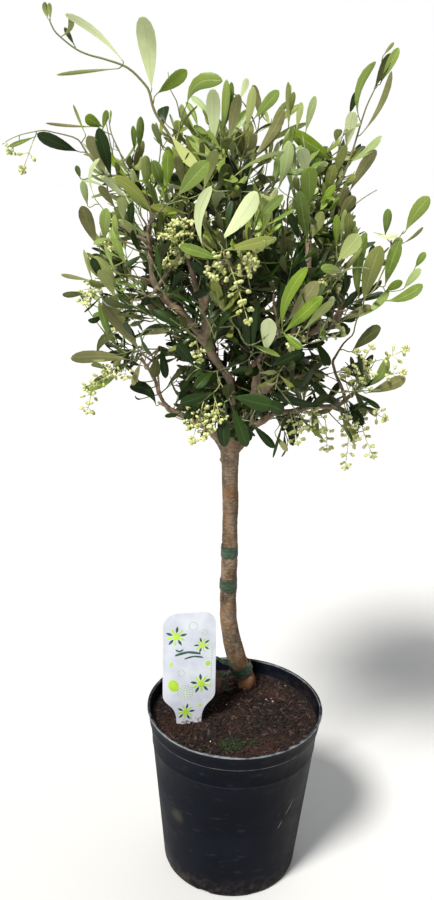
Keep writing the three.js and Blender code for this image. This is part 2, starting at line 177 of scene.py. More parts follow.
def moulded_polypropylene():
    """Black polypropylene, injection moulded. The eye gets a blue-black dull skin with a weak
    sheen, faint cloudy dust, pale edges at the lip and the band that are partly worn and partly
    a painted highlight, one long scratch, and dried earth round the foot."""
    material, tree, surface, place = start_material(
        "polypropylene_black_moulded", "#0a0d15", 0.5, ior=1.49, specular_ior_level=0.06
    )
    parts = add(tree, "SeparateXYZ", [place], None).outputs
    height = parts["Z"]
    cloud = add(tree, "TexNoise", {"Vector": place, "Scale": PER_MM / 50, "Detail": 4})
    upright = add(tree, "Mapping", {0: place, 3: (1 / 2.5, 1 / 2.5, 1)})
    scuffs = add(tree, "TexNoise", {"Vector": upright, "Scale": PER_MM / 7, "Detail": 5})
    smudge_off = add(tree, "VectorMath", [place, SMUDGE_AT], "Value", operation="DISTANCE")
    fine_cloud = {"Vector": place, "Scale": PER_MM / 11, "Detail": 8, "Roughness": 0.7}
    earth = add(tree, "TexNoise", fine_cloud)
    low_down = add(tree, "MapRange", [height, 0.0005, 0.034, 1, 0])
    splashed = add(tree, "MapRange", [earth, 0.42, 0.66])
    right_side = add(tree, "MapRange", [parts["X"], 0.02, 0.09])
    dust = patches(tree, place, 22, 0.4, 0.68, 0.5, detail=8, roughness=0.75)
    layers = [
        (add(tree, "MapRange", [cloud, 0.35, 0.7]), "#0e121b"),
        (add(tree, "MapRange", [scuffs, 0.58, 0.8, 0, 0.4]), "#3a3a3c"),
        (add(tree, "MapRange", [smudge_off, 0.003, 0.014, 0.32, 0]), "#55504b"),
        (add(tree, "Math", [low_down, splashed], operation="MULTIPLY"), "#3c3129"),
        (add(tree, "Math", [right_side, dust], operation="MULTIPLY"), "#322a25"),
    ]
    waver = add(tree, "TexNoise", {"Vector": place, "Scale": PER_MM / 12, "Detail": 3})
    waver = add(tree, "Math", [waver, 0.0016, height], operation="MULTIPLY_ADD")
    patchy = add(tree, "MapRange", [earth, 0.3, 0.6, 0.25, 1])
    # Each pale line is partly wear and partly a painted highlight where the edge catches the light.
    for level, half, strength in WORN_AND_HIGHLIT_LINES:
        gap = add(tree, "Math", [waver, level], operation="SUBTRACT")
        gap = add(tree, "Math", [gap], operation="ABSOLUTE")
        line = add(tree, "MapRange", [gap, half * 0.4, half, strength, 0])
        layers.append((add(tree, "Math", [line, patchy], operation="MULTIPLY"), "#7c7f82"))
    # The scratch runs up the front on the right, cut to its length, broken by the scuffs.
    off = add(tree, "VectorMath", [place, SCRATCH_PLANE], "Value", operation="DOT_PRODUCT")
    off = add(tree, "Math", [off, SCRATCH_OFF], operation="SUBTRACT")
    off = add(tree, "Math", [off], operation="ABSOLUTE")
    scratch = add(tree, "MapRange", [off, 0.0002, 0.0007, 0.8, 0])
    ends = ((height, 0.091, 0.099), (height, 0.131, 0.124))
    for value, low, high in (*ends, (scuffs, 0.38, 0.5), (parts["Y"], 0, -0.02)):
        share = add(tree, "MapRange", [value, low, high])
        scratch = add(tree, "Math", [scratch, share], operation="MULTIPLY")
    grain = add(tree, "TexNoise", {"Vector": place, "Scale": PER_MM / 1.6, "Detail": 2})
    sway = add(tree, "TexNoise", {"Vector": place, "Scale": PER_MM / 34, "Detail": 2})
    dress(tree, surface, "#060912", [*layers, (scratch, "#8a8378")], [(grain, 0.05), (sway, 0.5)])
    dull = add(tree, "MapRange", [cloud, 0.3, 0.7, 0.42, 0.6])
    tree.links.new(dull, surface.inputs["Roughness"])
    return material


def wet_compost(name, dark, light, size_mm):
    """Peat and wood-fibre compost, milled and damp: dark red-brown, matt, with paler fibres."""
    material, tree, surface, place = start_material(name, dark, 0.93, specular_ior_level=0.25)
    blotches = add(tree, "TexNoise", {"Vector": place, "Scale": PER_MM / size_mm, "Detail": 5})
    stops = ((0.32, dark), (0.58, light), (0.8, "#3e2b21"))
    colour = add(tree, "ValToRGB", [blotches], stops=stops)
    warm = patches(tree, place, 60, 0.5, 0.68, 0.4)
    grains = add(tree, "TexNoise", {"Vector": place, "Scale": PER_MM / 2.2, "Detail": 4})
    dress(tree, surface, colour, [(warm, "#382117")], [(grains, 1.2)])
    return material


def crumb_material(name, code, second, size_mm):
    """Small loose stuff on the compost, matt and dusty: perlite that is white and chalky from
    being popped in a kiln, shredded wood fibre, milled bark, and moss."""
    material, tree, surface, place = start_material(name, code, 0.9)
    grain = add(tree, "TexNoise", {"Vector": place, "Scale": PER_MM / 0.8, "Detail": 2})
    share = patches(tree, place, size_mm, 0.35, 0.65)
    dress(tree, surface, code, [(share, second)], [(grain, 0.2)])
    return material


def olive_bark():
    """Bark of a young olive, grown: thin grey-brown cork, finely scaled across the limb, with pale
    corky specks, warm brown where it is rubbed, and paler high in the crown, partly younger bark
    and partly painted light against the crown's shade."""
    material, tree, surface, place = start_material(
        "olive_bark_grown", "#5f5143", 0.88, specular_ior_level=0.25
    )
    lengthways = add(tree, "Mapping", {0: place, 3: (1, 1, 1 / 2.4)})
    broad = add(tree, "TexNoise", {"Vector": lengthways, "Scale": PER_MM / 15, "Detail": 4})
    stops = ((0.3, "#3a3027"), (0.46, "#584a3c"), (0.6, "#736453"), (0.78, "#8f7e6a"))
    colour = add(tree, "ValToRGB", [broad], stops=stops)
    crossways = add(tree, "Mapping", {0: place, 3: (1 / 2.4, 1 / 2.4, 1)})
    scales = add(tree, "TexNoise", {"Vector": crossways, "Scale": PER_MM / 2.0, "Detail": 4})
    specks = add(tree, "TexVoronoi", {"Vector": place, "Scale": PER_MM / 4.5})
    height = add(tree, "SeparateXYZ", [place], "Z")
    foot = add(tree, "MapRange", [height, 0.2, 0.26, 0.55, 0.0])
    rubbed = patches(tree, place, 26, 0.45, 0.7, 0.5, detail=3)
    layers = [
        (add(tree, "MapRange", [scales, 0.5, 0.64, 0, 0.5]), "#362b22"),
        (add(tree, "MapRange", [scales, 0.47, 0.34, 0, 0.35]), "#a08c74"),
        (add(tree, "MapRange", [specks, 0.1, 0.18, 0.5, 0]), "#9c866c"),
        (add(tree, "Math", [foot, rubbed], operation="ADD"), "#7a5233"),
        (add(tree, "MapRange", [height, 0.5, 0.6, 0, 0.4]), "#ac9884"),  # young bark, and painted light against the crown's shade
    ]
    fine = add(tree, "TexNoise", {"Vector": place, "Scale": PER_MM / 1.1, "Detail": 3})
    dress(tree, surface, colour, layers, [(scales, 0.45), (fine, 0.22), (broad, 1.0)])
    return material


def twig_skin(name, code, second, roughness):
    """Skin of a twig, grown: thin, slightly rough and brown on last year's wood, waxy and green
    on this year's. Both turn olive towards the top of the crown."""
    material, tree, surface, place = start_material(name, code, roughness, specular_ior_level=0.35)
    height = add(tree, "SeparateXYZ", [place], "Z")
    top = add(tree, "MapRange", [height, 0.78, 0.88, 0, 0.8])
    crossways = add(tree, "Mapping", {0: place, 3: (1, 1, 2)})
    rings = add(tree, "TexNoise", {"Vector": crossways, "Scale": PER_MM / 1.5, "Detail": 2})
    layers = [(patches(tree, place, 6, 0.35, 0.65, detail=3), second), (top, "#6f7344")]
    dress(tree, surface, code, layers, [(rings, 0.12)])
    return material


def leaf_skin(name, code, second, rib, wax=None):
    """Olive leaf, grown. The upper face is leathery and waxy, so it shines softly over a sunken
    paler rib, less so once the wax has worn off old leaves. The lower face, which has no wax, is
    felted with tiny silver scales, so it is matt and pale, and its rib is raised. leaf_place
    holds the place across and along the leaf, and the leaf's own shade."""
    shine = {"ior": 1.45, "specular_ior_level": wax} if wax else {"specular_ior_level": 0.12}
    material, tree, surface, place = start_material(name, code, 0.36 if wax else 0.75, **shine)
    spot = add(tree, "Attribute", out="Vector", attribute_name="leaf_place")
    parts = add(tree, "SeparateXYZ", [spot], None).outputs
    across = add(tree, "Math", [parts["X"]], operation="ABSOLUTE")
    slant = add(tree, "Math", [across, -0.16, parts["Y"]], operation="MULTIPLY_ADD")
    veins = add(tree, "Math", [slant, 62.0], operation="MULTIPLY")
    veins = add(tree, "Math", [veins], operation="SINE")
    layers = [
        (parts["Z"], second),
        (patches(tree, place, 11, 0.38, 0.75, 0.5, detail=3), second),
        (add(tree, "MapRange", [parts["Y"], 0.0, 0.3, 0.4, 0]), rib),
        (add(tree, "MapRange", [veins, 0.5, 1.0, 0, 0.07]), rib),
        (add(tree, "MapRange", [across, 0.0, 0.1, 0.45, 0]), rib),
    ]
    at_rib, beside = (0, 1) if wax else (1, 0)
    ridge = add(tree, "MapRange", [across, 0, 0.16, at_rib, beside])
    relief = add(tree, "Math", [veins, 0.04, ridge], operation="MULTIPLY_ADD")
    dress(tree, surface, code, layers, [(relief, 0.14)])
    return material


def plain_skin(name, code, second, roughness, size_mm):
    """A smooth small thing of two near colours: flower bud, flower stalk, print."""
    material, tree, surface, place = start_material(name, code, roughness)
    dress(tree, surface, code, [(patches(tree, place, size_mm, 0.35, 0.65), second)])
    return material


def label_sheet():
    """Polypropylene sheet, die cut and printed: smooth, white, with a soft shine and a little
    splashed soil near the compost."""
    material, tree, surface, place = start_material(
        "polypropylene_sheet_white", "#c9ced8", 0.36, ior=1.49
    )
    height = add(tree, "SeparateXYZ", [place], "Z")
    near = add(tree, "MapRange", [height, 0.199, 0.210, 0.9, 0])
    marks = patches(tree, place, 5, 0.5, 0.62, detail=4)
    marks = add(tree, "Math", [near, marks], operation="MULTIPLY")
    waves = add(tree, "TexNoise", {"Vector": place, "Scale": PER_MM / 40, "Detail": 1})
    layers = [(patches(tree, place, 26, 0.35, 0.7), "#b8bdca"), (marks, "#6a5648")]
    dress(tree, surface, "#c9ced8", layers, [(waves, 0.4)])
    return material


def tie_tape():
    """Soft vinyl tie tape, calendered and wound by hand: matt grey-green with stretched ridges."""
    material, tree, surface, place = start_material("vinyl_tie_tape", "#2c412e", 0.6, ior=1.53)
    crossways = add(tree, "Mapping", {0: place, 3: (1, 1, 1 / 0.4)})
    ridges = add(tree, "TexNoise", {"Vector": crossways, "Scale": PER_MM / 7, "Detail": 3})
    share = add(tree, "MapRange", [ridges, 0.35, 0.7])
    dress(tree, surface, "#1b2e1f", [(share, "#39523b")], [(ridges, 0.5)])
    return material


# ------------------------------------------------------------------ making meshes


def piece(name, points, faces, materials=(), slots=None, attributes=None, smooth=True):
    """One mesh object from points in millimetres and faces, with named values at its points."""
    mesh = bpy.data.meshes.new(name)
    mesh.from_pydata(np.asarray(points, float) * MM, [], faces)
    for material in materials:
        mesh.materials.append(material)
    if slots is not None:
        mesh.polygons.foreach_set("material_index", np.asarray(slots, np.int32))
    for key, values in (attributes or {}).items():
        values = np.asarray(values, np.float32)
        kind, field = ("FLOAT_VECTOR", "vector") if values.ndim == 2 else ("FLOAT", "value")
        mesh.attributes.new(key, kind, "POINT").data.foreach_set(field, values.ravel())
    if smooth:
        mesh.shade_smooth()
    else:
        mesh.shade_flat()
    mesh.update()
    made = bpy.data.objects.new(name, mesh)
    bpy.context.scene.collection.objects.link(made)
    return made


def settled(source, name):
    """The object with its modifiers worked in, as a plain mesh, in place of the source."""
    bpy.context.view_layer.update()
    shape = source.evaluated_get(bpy.context.evaluated_depsgraph_get())
    mesh = bpy.data.meshes.new_from_object(shape)
    mesh.name = name
    bpy.data.objects.remove(source)
    made = bpy.data.objects.new(name, mesh)
    bpy.context.scene.collection.objects.link(made)
    return made


def joined(shapes):
    """Joins shapes, each given as its points and faces, into one."""
    points, faces, count = [], [], 0
    for shape_points, shape_faces in shapes:
        points.append(shape_points)
        faces.extend([tuple(i + count for i in face) for face in shape_faces])
        count += len(shape_points)
    return np.concatenate(points), faces


def unit(vector):
    """The vector at length one."""
    return vector / max(np.linalg.norm(vector), 1e-9)


def curve_through(stations, step):
    """Points about step apart on a smooth curve through stations [x, y, z, ...]."""
    stations = np.asarray(stations, float)
    padded = np.vstack([2 * stations[0] - stations[1], stations, 2 * stations[-1] - stations[-2]])
    out = []
    for a, b, c, d in zip(padded, padded[1:], padded[2:], padded[3:]):
        count = max(1, round(np.linalg.norm((c - b)[:3]) / step))
        for t in np.arange(count) / count:
            square, cube = 2 * a - 5 * b + 4 * c - d, 3 * b - a - 3 * c + d
            out.append(0.5 * (2 * b + (c - a) * t + square * t**2 + cube * t**3))
    return np.array(out + [stations[-1]])


def run_of(points):
    """How far along a line of points each point is."""
    return np.concatenate([[0], np.cumsum(np.linalg.norm(np.diff(points, axis=0), axis=1))])


def square_to(way, hint):
    """Two directions square to a line and to each other."""
    side = unit(np.cross(way, hint))
    return side, np.cross(way, side)


def along(points):
    """The direction of a line of points at each point."""
    ways = np.gradient(points, axis=0)
    return ways / np.maximum(np.linalg.norm(ways, axis=1, keepdims=True), 1e-9)


def wrapped_quads(count, sides, first=0):
    """The faces between count closed rings of sides points each, one ring after another."""
    starts = range(first, first + (count - 1) * sides, sides)
    turns = list(zip(range(sides), [*range(1, sides), 0]))
    return [(r + s, r + n, r + sides + n, r + sides + s) for r in starts for s, n in turns]


def cap(tip, ring):
    """The faces that close a ring of points to one point, in the ring's order."""
    return [(tip, a, b) for a, b in zip(ring, [*ring[1:], ring[0]])]


def turned_over(faces):
    """The same faces, looking the other way."""
    return [(face[0], *face[:0:-1]) for face in faces]


def tube(points, radii, sides):
    """A closed tube along points, without twist."""
    ways = along(points)
    side = unit(np.cross(ways[0], (0.31, 0.87, 0.12) if abs(ways[0][0]) > 0.5 else (1, 0.1, 0.05)))
    turns = np.arange(sides) * 2 * math.pi / sides
    rings = []
    for point, way, radius in zip(points, ways, radii):
        side = unit(side - way * side.dot(way))
        ring = np.outer(np.cos(turns), side) + np.outer(np.sin(turns), np.cross(way, side))
        rings.append(point + radius * ring)
    tip = points[-1] + ways[-1] * radii[-1] * 0.8
    count = len(points) * sides
    faces = wrapped_quads(len(points), sides)
    faces += turned_over(cap(count, range(sides)))
    faces += cap(count + 1, range(count - sides, count))
    return np.vstack(rings + [points[:1], tip[None]]), faces


# ------------------------------------------------------------------ stem and boughs

POT_HEIGHT = 216
SOIL_TOP = 199
SOIL_DISH = 2.5

# Each limb: [x, y, z, radius] from where it starts to its end inside the leaves.
LIMBS = {
    "trunk": [[17, 66, 196.5, 15.5], [16.3, 65.8, 204, 13.6], [13.2, 65, 216, 12.2],
        [1.5, 62, 242, 11.5], [-5, 60, 268, 10.3], [-11, 57, 306, 9.5], [-12, 53, 377, 8.8],
        [-13, 50, 431, 8.4], [-14.6, 48, 482, 8.8], [-16, 46, 515, 9.8], [-16.5, 45.5, 532, 9.2]],
    "bough_centre": [[-16, 45, 526, 8.2], [-15, 45, 562, 6.4], [-17, 44, 598, 5.6],
        [-29, 42, 620, 5.2], [-40, 40, 638, 4.9], [-47, 38, 662, 4.5], [-53, 36, 692, 4.2],
        [-63, 34, 722, 3.8], [-73, 32, 756, 3.2]],
    "bough_right": [[-12, 46, 526, 7.8], [0, 44, 556, 6], [9, 42, 592, 5.2], [13, 38, 630, 4.8],
        [38, 33, 653, 4.4], [62, 29, 662, 4], [88, 26, 680, 3.6], [100, 25, 698, 3.2]],
    "bough_low_left": [[-20, 46, 524, 7], [-43, 43, 549, 5.2], [-73, 39, 564, 4.4],
        [-90, 35, 576, 4], [-102, 32, 606, 3.6], [-116, 30, 630, 3.2]],
    "bough_low_right": [[-10, 44, 526, 7], [16, 39, 560, 5.2], [48, 31, 576, 4.6],
        [73, 26, 582, 4.2], [100, 21, 588, 3.8], [118, 18, 602, 3.2]],
    "bough_left": [[-34, 41, 627, 5], [-48, 38, 648, 4.4], [-70, 35, 678, 4], [-94, 32, 698, 3.7],
        [-106, 30, 725, 3.4], [-108, 28, 764, 3]],
    "bough_back": [[-15, 50, 526, 7], [-9, 74, 575, 5.4], [-3, 94, 625, 4.6], [0, 112, 668, 4],
        [0, 128, 706, 3.4]],
    "bough_back_left": [[-19, 49, 524, 6.4], [-32, 82, 575, 4.8], [-60, 106, 630, 4.2],
        [-90, 116, 692, 3.4]],
    "bough_back_right": [[-11, 49, 526, 6.4], [20, 72, 585, 4.8], [56, 96, 635, 4.2],
        [82, 114, 690, 3.4]],
    "bough_front": [[-46, 39, 654, 4.4], [-40, 12, 684, 4], [-32, -18, 716, 3.6],
        [-26, -44, 742, 3]],
    "bough_low_front": [[8, 40, 590, 4.6], [17, 14, 604, 4], [26, -14, 618, 3.4]],
    "bough_top": [[-50, 37, 680, 3.9], [-40, 38, 722, 3.6], [-29, 37, 764, 3.3], [-22, 36, 808, 3]],
    "bough_upper_right": [[42, 32, 656, 4], [50, 12, 690, 3.7], [55, 6, 725, 3.4],
        [58, 14, 764, 3]],
}
STEM = LIMBS["trunk"]
# How much slimmer the bare wood is where these boughs run through the crown.
SLIMMER = {"bough_centre": 0.76, "bough_low_left": 0.6, "bough_low_right": 0.66, "bough_left": 0.92}
STEM_FULLER = 1.1  # makes up for what the softening takes off
KNOT_SPACE, KNOT_LONG, KNOT_SWELL, KINK = 21.0, 3.2, 0.3, 1.1
BARK_GRID = 1.25  # the size of the bark mesh's faces
RIDGED_UP_TO = 6  # the ridges grow with the limb's radius as far as this


def knotted(name, step):
    """A limb's course, swollen at its knots and a little kinked between them."""
    course = curve_through(LIMBS[name], step)
    if name == "trunk":
        course[:, 3] *= np.interp(course[:, 2], (200, 216, 250), (0.8, 0.9, STEM_FULLER))
        return course
    course[:, 3] *= np.interp(np.arange(len(course)) * step, (0, 30), (1.0, SLIMMER.get(name, 1.0)))
    run = run_of(course[:, :3])
    shift = sum(map(ord, name)) % 17
    gap = (run + shift) % KNOT_SPACE - KNOT_SPACE / 2
    fade = np.clip(run / 25, 0, 1)
    course[:, 3] *= 1 + fade * KNOT_SWELL * np.exp(-((gap / KNOT_LONG) ** 2))
    for k, turn in ((0, 0.0), (1, 2.1), (2, 4.0)):
        course[:, k] += fade * KINK * np.sin((run + shift) * math.pi / KNOT_SPACE + turn)
    return course


# What shows on the stem besides its course: a knob at the foot and the stub of a cut twig.
SCARS = {
    "knob": [[17, 60, 203, 7.6], [19.5, 57, 210, 6.8], [20.5, 55, 217, 3.6]],
    "stub": [[-18, 47, 507, 3], [-25, 47, 509, 2.0], [-27.5, 47, 510.5, 1.7]],
}


def bark_piece(material):
    """The stem and boughs as one skin: their tubes are fused, softened at the forks, and raised
    in low ridges that follow each limb."""
    courses = {name: knotted(name, 3.0) for name in LIMBS}
    scars = {name: curve_through(stations, 2.0) for name, stations in SCARS.items()}
    shapes = [tube(c[:, :3], c[:, 3], 14) for c in [*courses.values(), *scars.values()]]
    source = piece("bark_tubes", *joined(shapes))
    fuse = source.modifiers.new("fuse", "REMESH")
    fuse.mode, fuse.voxel_size = "VOXEL", BARK_GRID * MM
    soften = source.modifiers.new("soften", "SMOOTH")
    soften.factor, soften.iterations = 0.5, 5
    made = settled(source, "bark")
    mesh = made.data

    line = np.vstack(list(courses.values()))
    places = np.empty(len(mesh.vertices) * 3)
    mesh.vertices.foreach_get("co", places)
    places = places.reshape(-1, 3) / MM
    normals = np.empty_like(places)
    mesh.vertices.foreach_get("normal", normals.reshape(-1))
    thick = np.empty(len(places))
    for start in range(0, len(places), 4000):
        gap = places[start : start + 4000, None] - line[None, :, :3]
        thick[start : start + 4000] = line[(gap**2).sum(2).argmin(1), 3]
    thick = np.minimum(thick, RIDGED_UP_TO)

    lift = np.empty(len(places))
    for i, (x, y, z) in enumerate(places):
        ridges = noise.noise(Vector((x / 7, y / 7, z / 2.4)))
        furrows = noise.noise(Vector((x / 2.6, y / 2.6, z / 17)) + Vector((9, 3, 1)))
        lumps = noise.noise(Vector((x / 11, y / 11, z / 16)) + Vector((4, 8, 2)))
        lift[i] = (0.046 * ridges + 0.05 * furrows + 0.15 * lumps) * thick[i]
    soil_line = np.clip((places[:, 2] - SOIL_TOP + SOIL_DISH) / 4, 0, 1)
    places = places + normals * (lift * soil_line)[:, None]
    mesh.vertices.foreach_set("co", (places * MM).ravel())
    mesh.shade_smooth()
    mesh.materials.clear()
    mesh.materials.append(material)
    mesh.update()
    return made


# ------------------------------------------------------------------ how the plant grows

# The long shoots that stand out of the leaves: radius at the foot, radius at the tip, and course.
LEADERS = {
    "leader_left": (1.6, 0.7, [(-80, 20, 846), (-87, 18, 861), (-103, 14, 885), (-108, 12, 902),
        (-113, 11, 910), (-129, 8, 924), (-151, 4, 931), (-165, 2, 934), (-178, 0, 939),
        (-192, -2, 949), (-198, -3, 955), (-202, -4, 964)]),
    "leader_second": (1.2, 0.5, [(-109, 24, 799), (-123, 22, 822), (-132, 20, 831), (-139, 18, 847),
        (-146, 16, 862), (-148, 16, 872), (-149, 16, 883)]),
    "left_arch": (1.1, 0.4, [(-154, 20, 824), (-171, 16, 844), (-179, 14, 856), (-190, 10, 860),
        (-200, 8, 862), (-211, 6, 864), (-219, 4, 863), (-235, 2, 859), (-246, 0, 854),
        (-252, 0, 850)]),
    "leader_right": (1.2, 0.7, [(85, 20, 819), (87, 18, 826), (93, 14, 846), (98, 12, 867),
        (101, 10, 881), (105, 9, 896), (111, 8, 911)]),
    "right_spray": (1.5, 0.8, [(91, 18, 638), (100, 12, 658), (108, 10, 667)]),
    "right_upper_stem": (1.0, 0.6, [(117, 16, 704), (128, 14, 716), (136, 12, 737), (147, 8, 768),
        (152, 6, 778)]),
    "arch_stalk": (0.7, 0.5, [(-79, 40, 872), (-76, 38, 884), (-72, 36, 893)]),
    "brown_top": (2.0, 0.8, [(-106, 2, 757), (-108, 0, 773), (-99, -4, 787), (-92, -6, 795)]),
    "brown_left": (1.6, 0.7, [(-107, 2, 760), (-121, -2, 766), (-134, -4, 774), (-144, -4, 783)]),
    "brown_low": (1.3, 0.7, [(-106, 2, 752), (-124, 0, 757), (-139, -2, 761), (-150, -4, 761)]),
    "brown_fork": (1.2, 0.7, [(-107, 0, 772), (-112, 2, 780), (-117, 2, 787)]),
    "brown_cross": (2.3, 1.3, [(-99, 0, 712), (-89, -4, 727), (-77, -8, 746), (-72, -10, 754)]),
    "twig_behind": (0.7, 0.4, [(-79, 40, 880), (-83, 40, 896), (-89, 40, 906), (-92, 42, 923)]),
    "low_left_stem": (1.6, 0.8, [(-86, 20, 580), (-95, 18, 592), (-98, 14, 620), (-106, 10, 643),
        (-113, 8, 645)]),
    "low_left_cross": (2.2, 1.4, [(-70, 22, 571), (-89, 20, 580), (-97, 18, 585)]),
    "left_low_hang": (0.8, 0.5, [(-110, 8, 643), (-118, 6, 638), (-131, 4, 630), (-141, 2, 622),
        (-154, 0, 609)]),
    "left_dark_stem": (0.9, 0.5, [(-138, 10, 629), (-140, 12, 643), (-148, 14, 664),
        (-155, 16, 685), (-158, 18, 706)]),
    "heart_stem": (1.8, 1.0, [(9, -20, 643), (12, -40, 658), (20, -58, 673), (27, -66, 681)]),
    "centre_stem": (1.4, 0.8, [(-32, -60, 750), (-24, -90, 753), (-30, -100, 761)]),
    "hook_right": (0.5, 0.5, [(83, 24, 842), (86, 22, 839), (89, 20, 833)]),
}

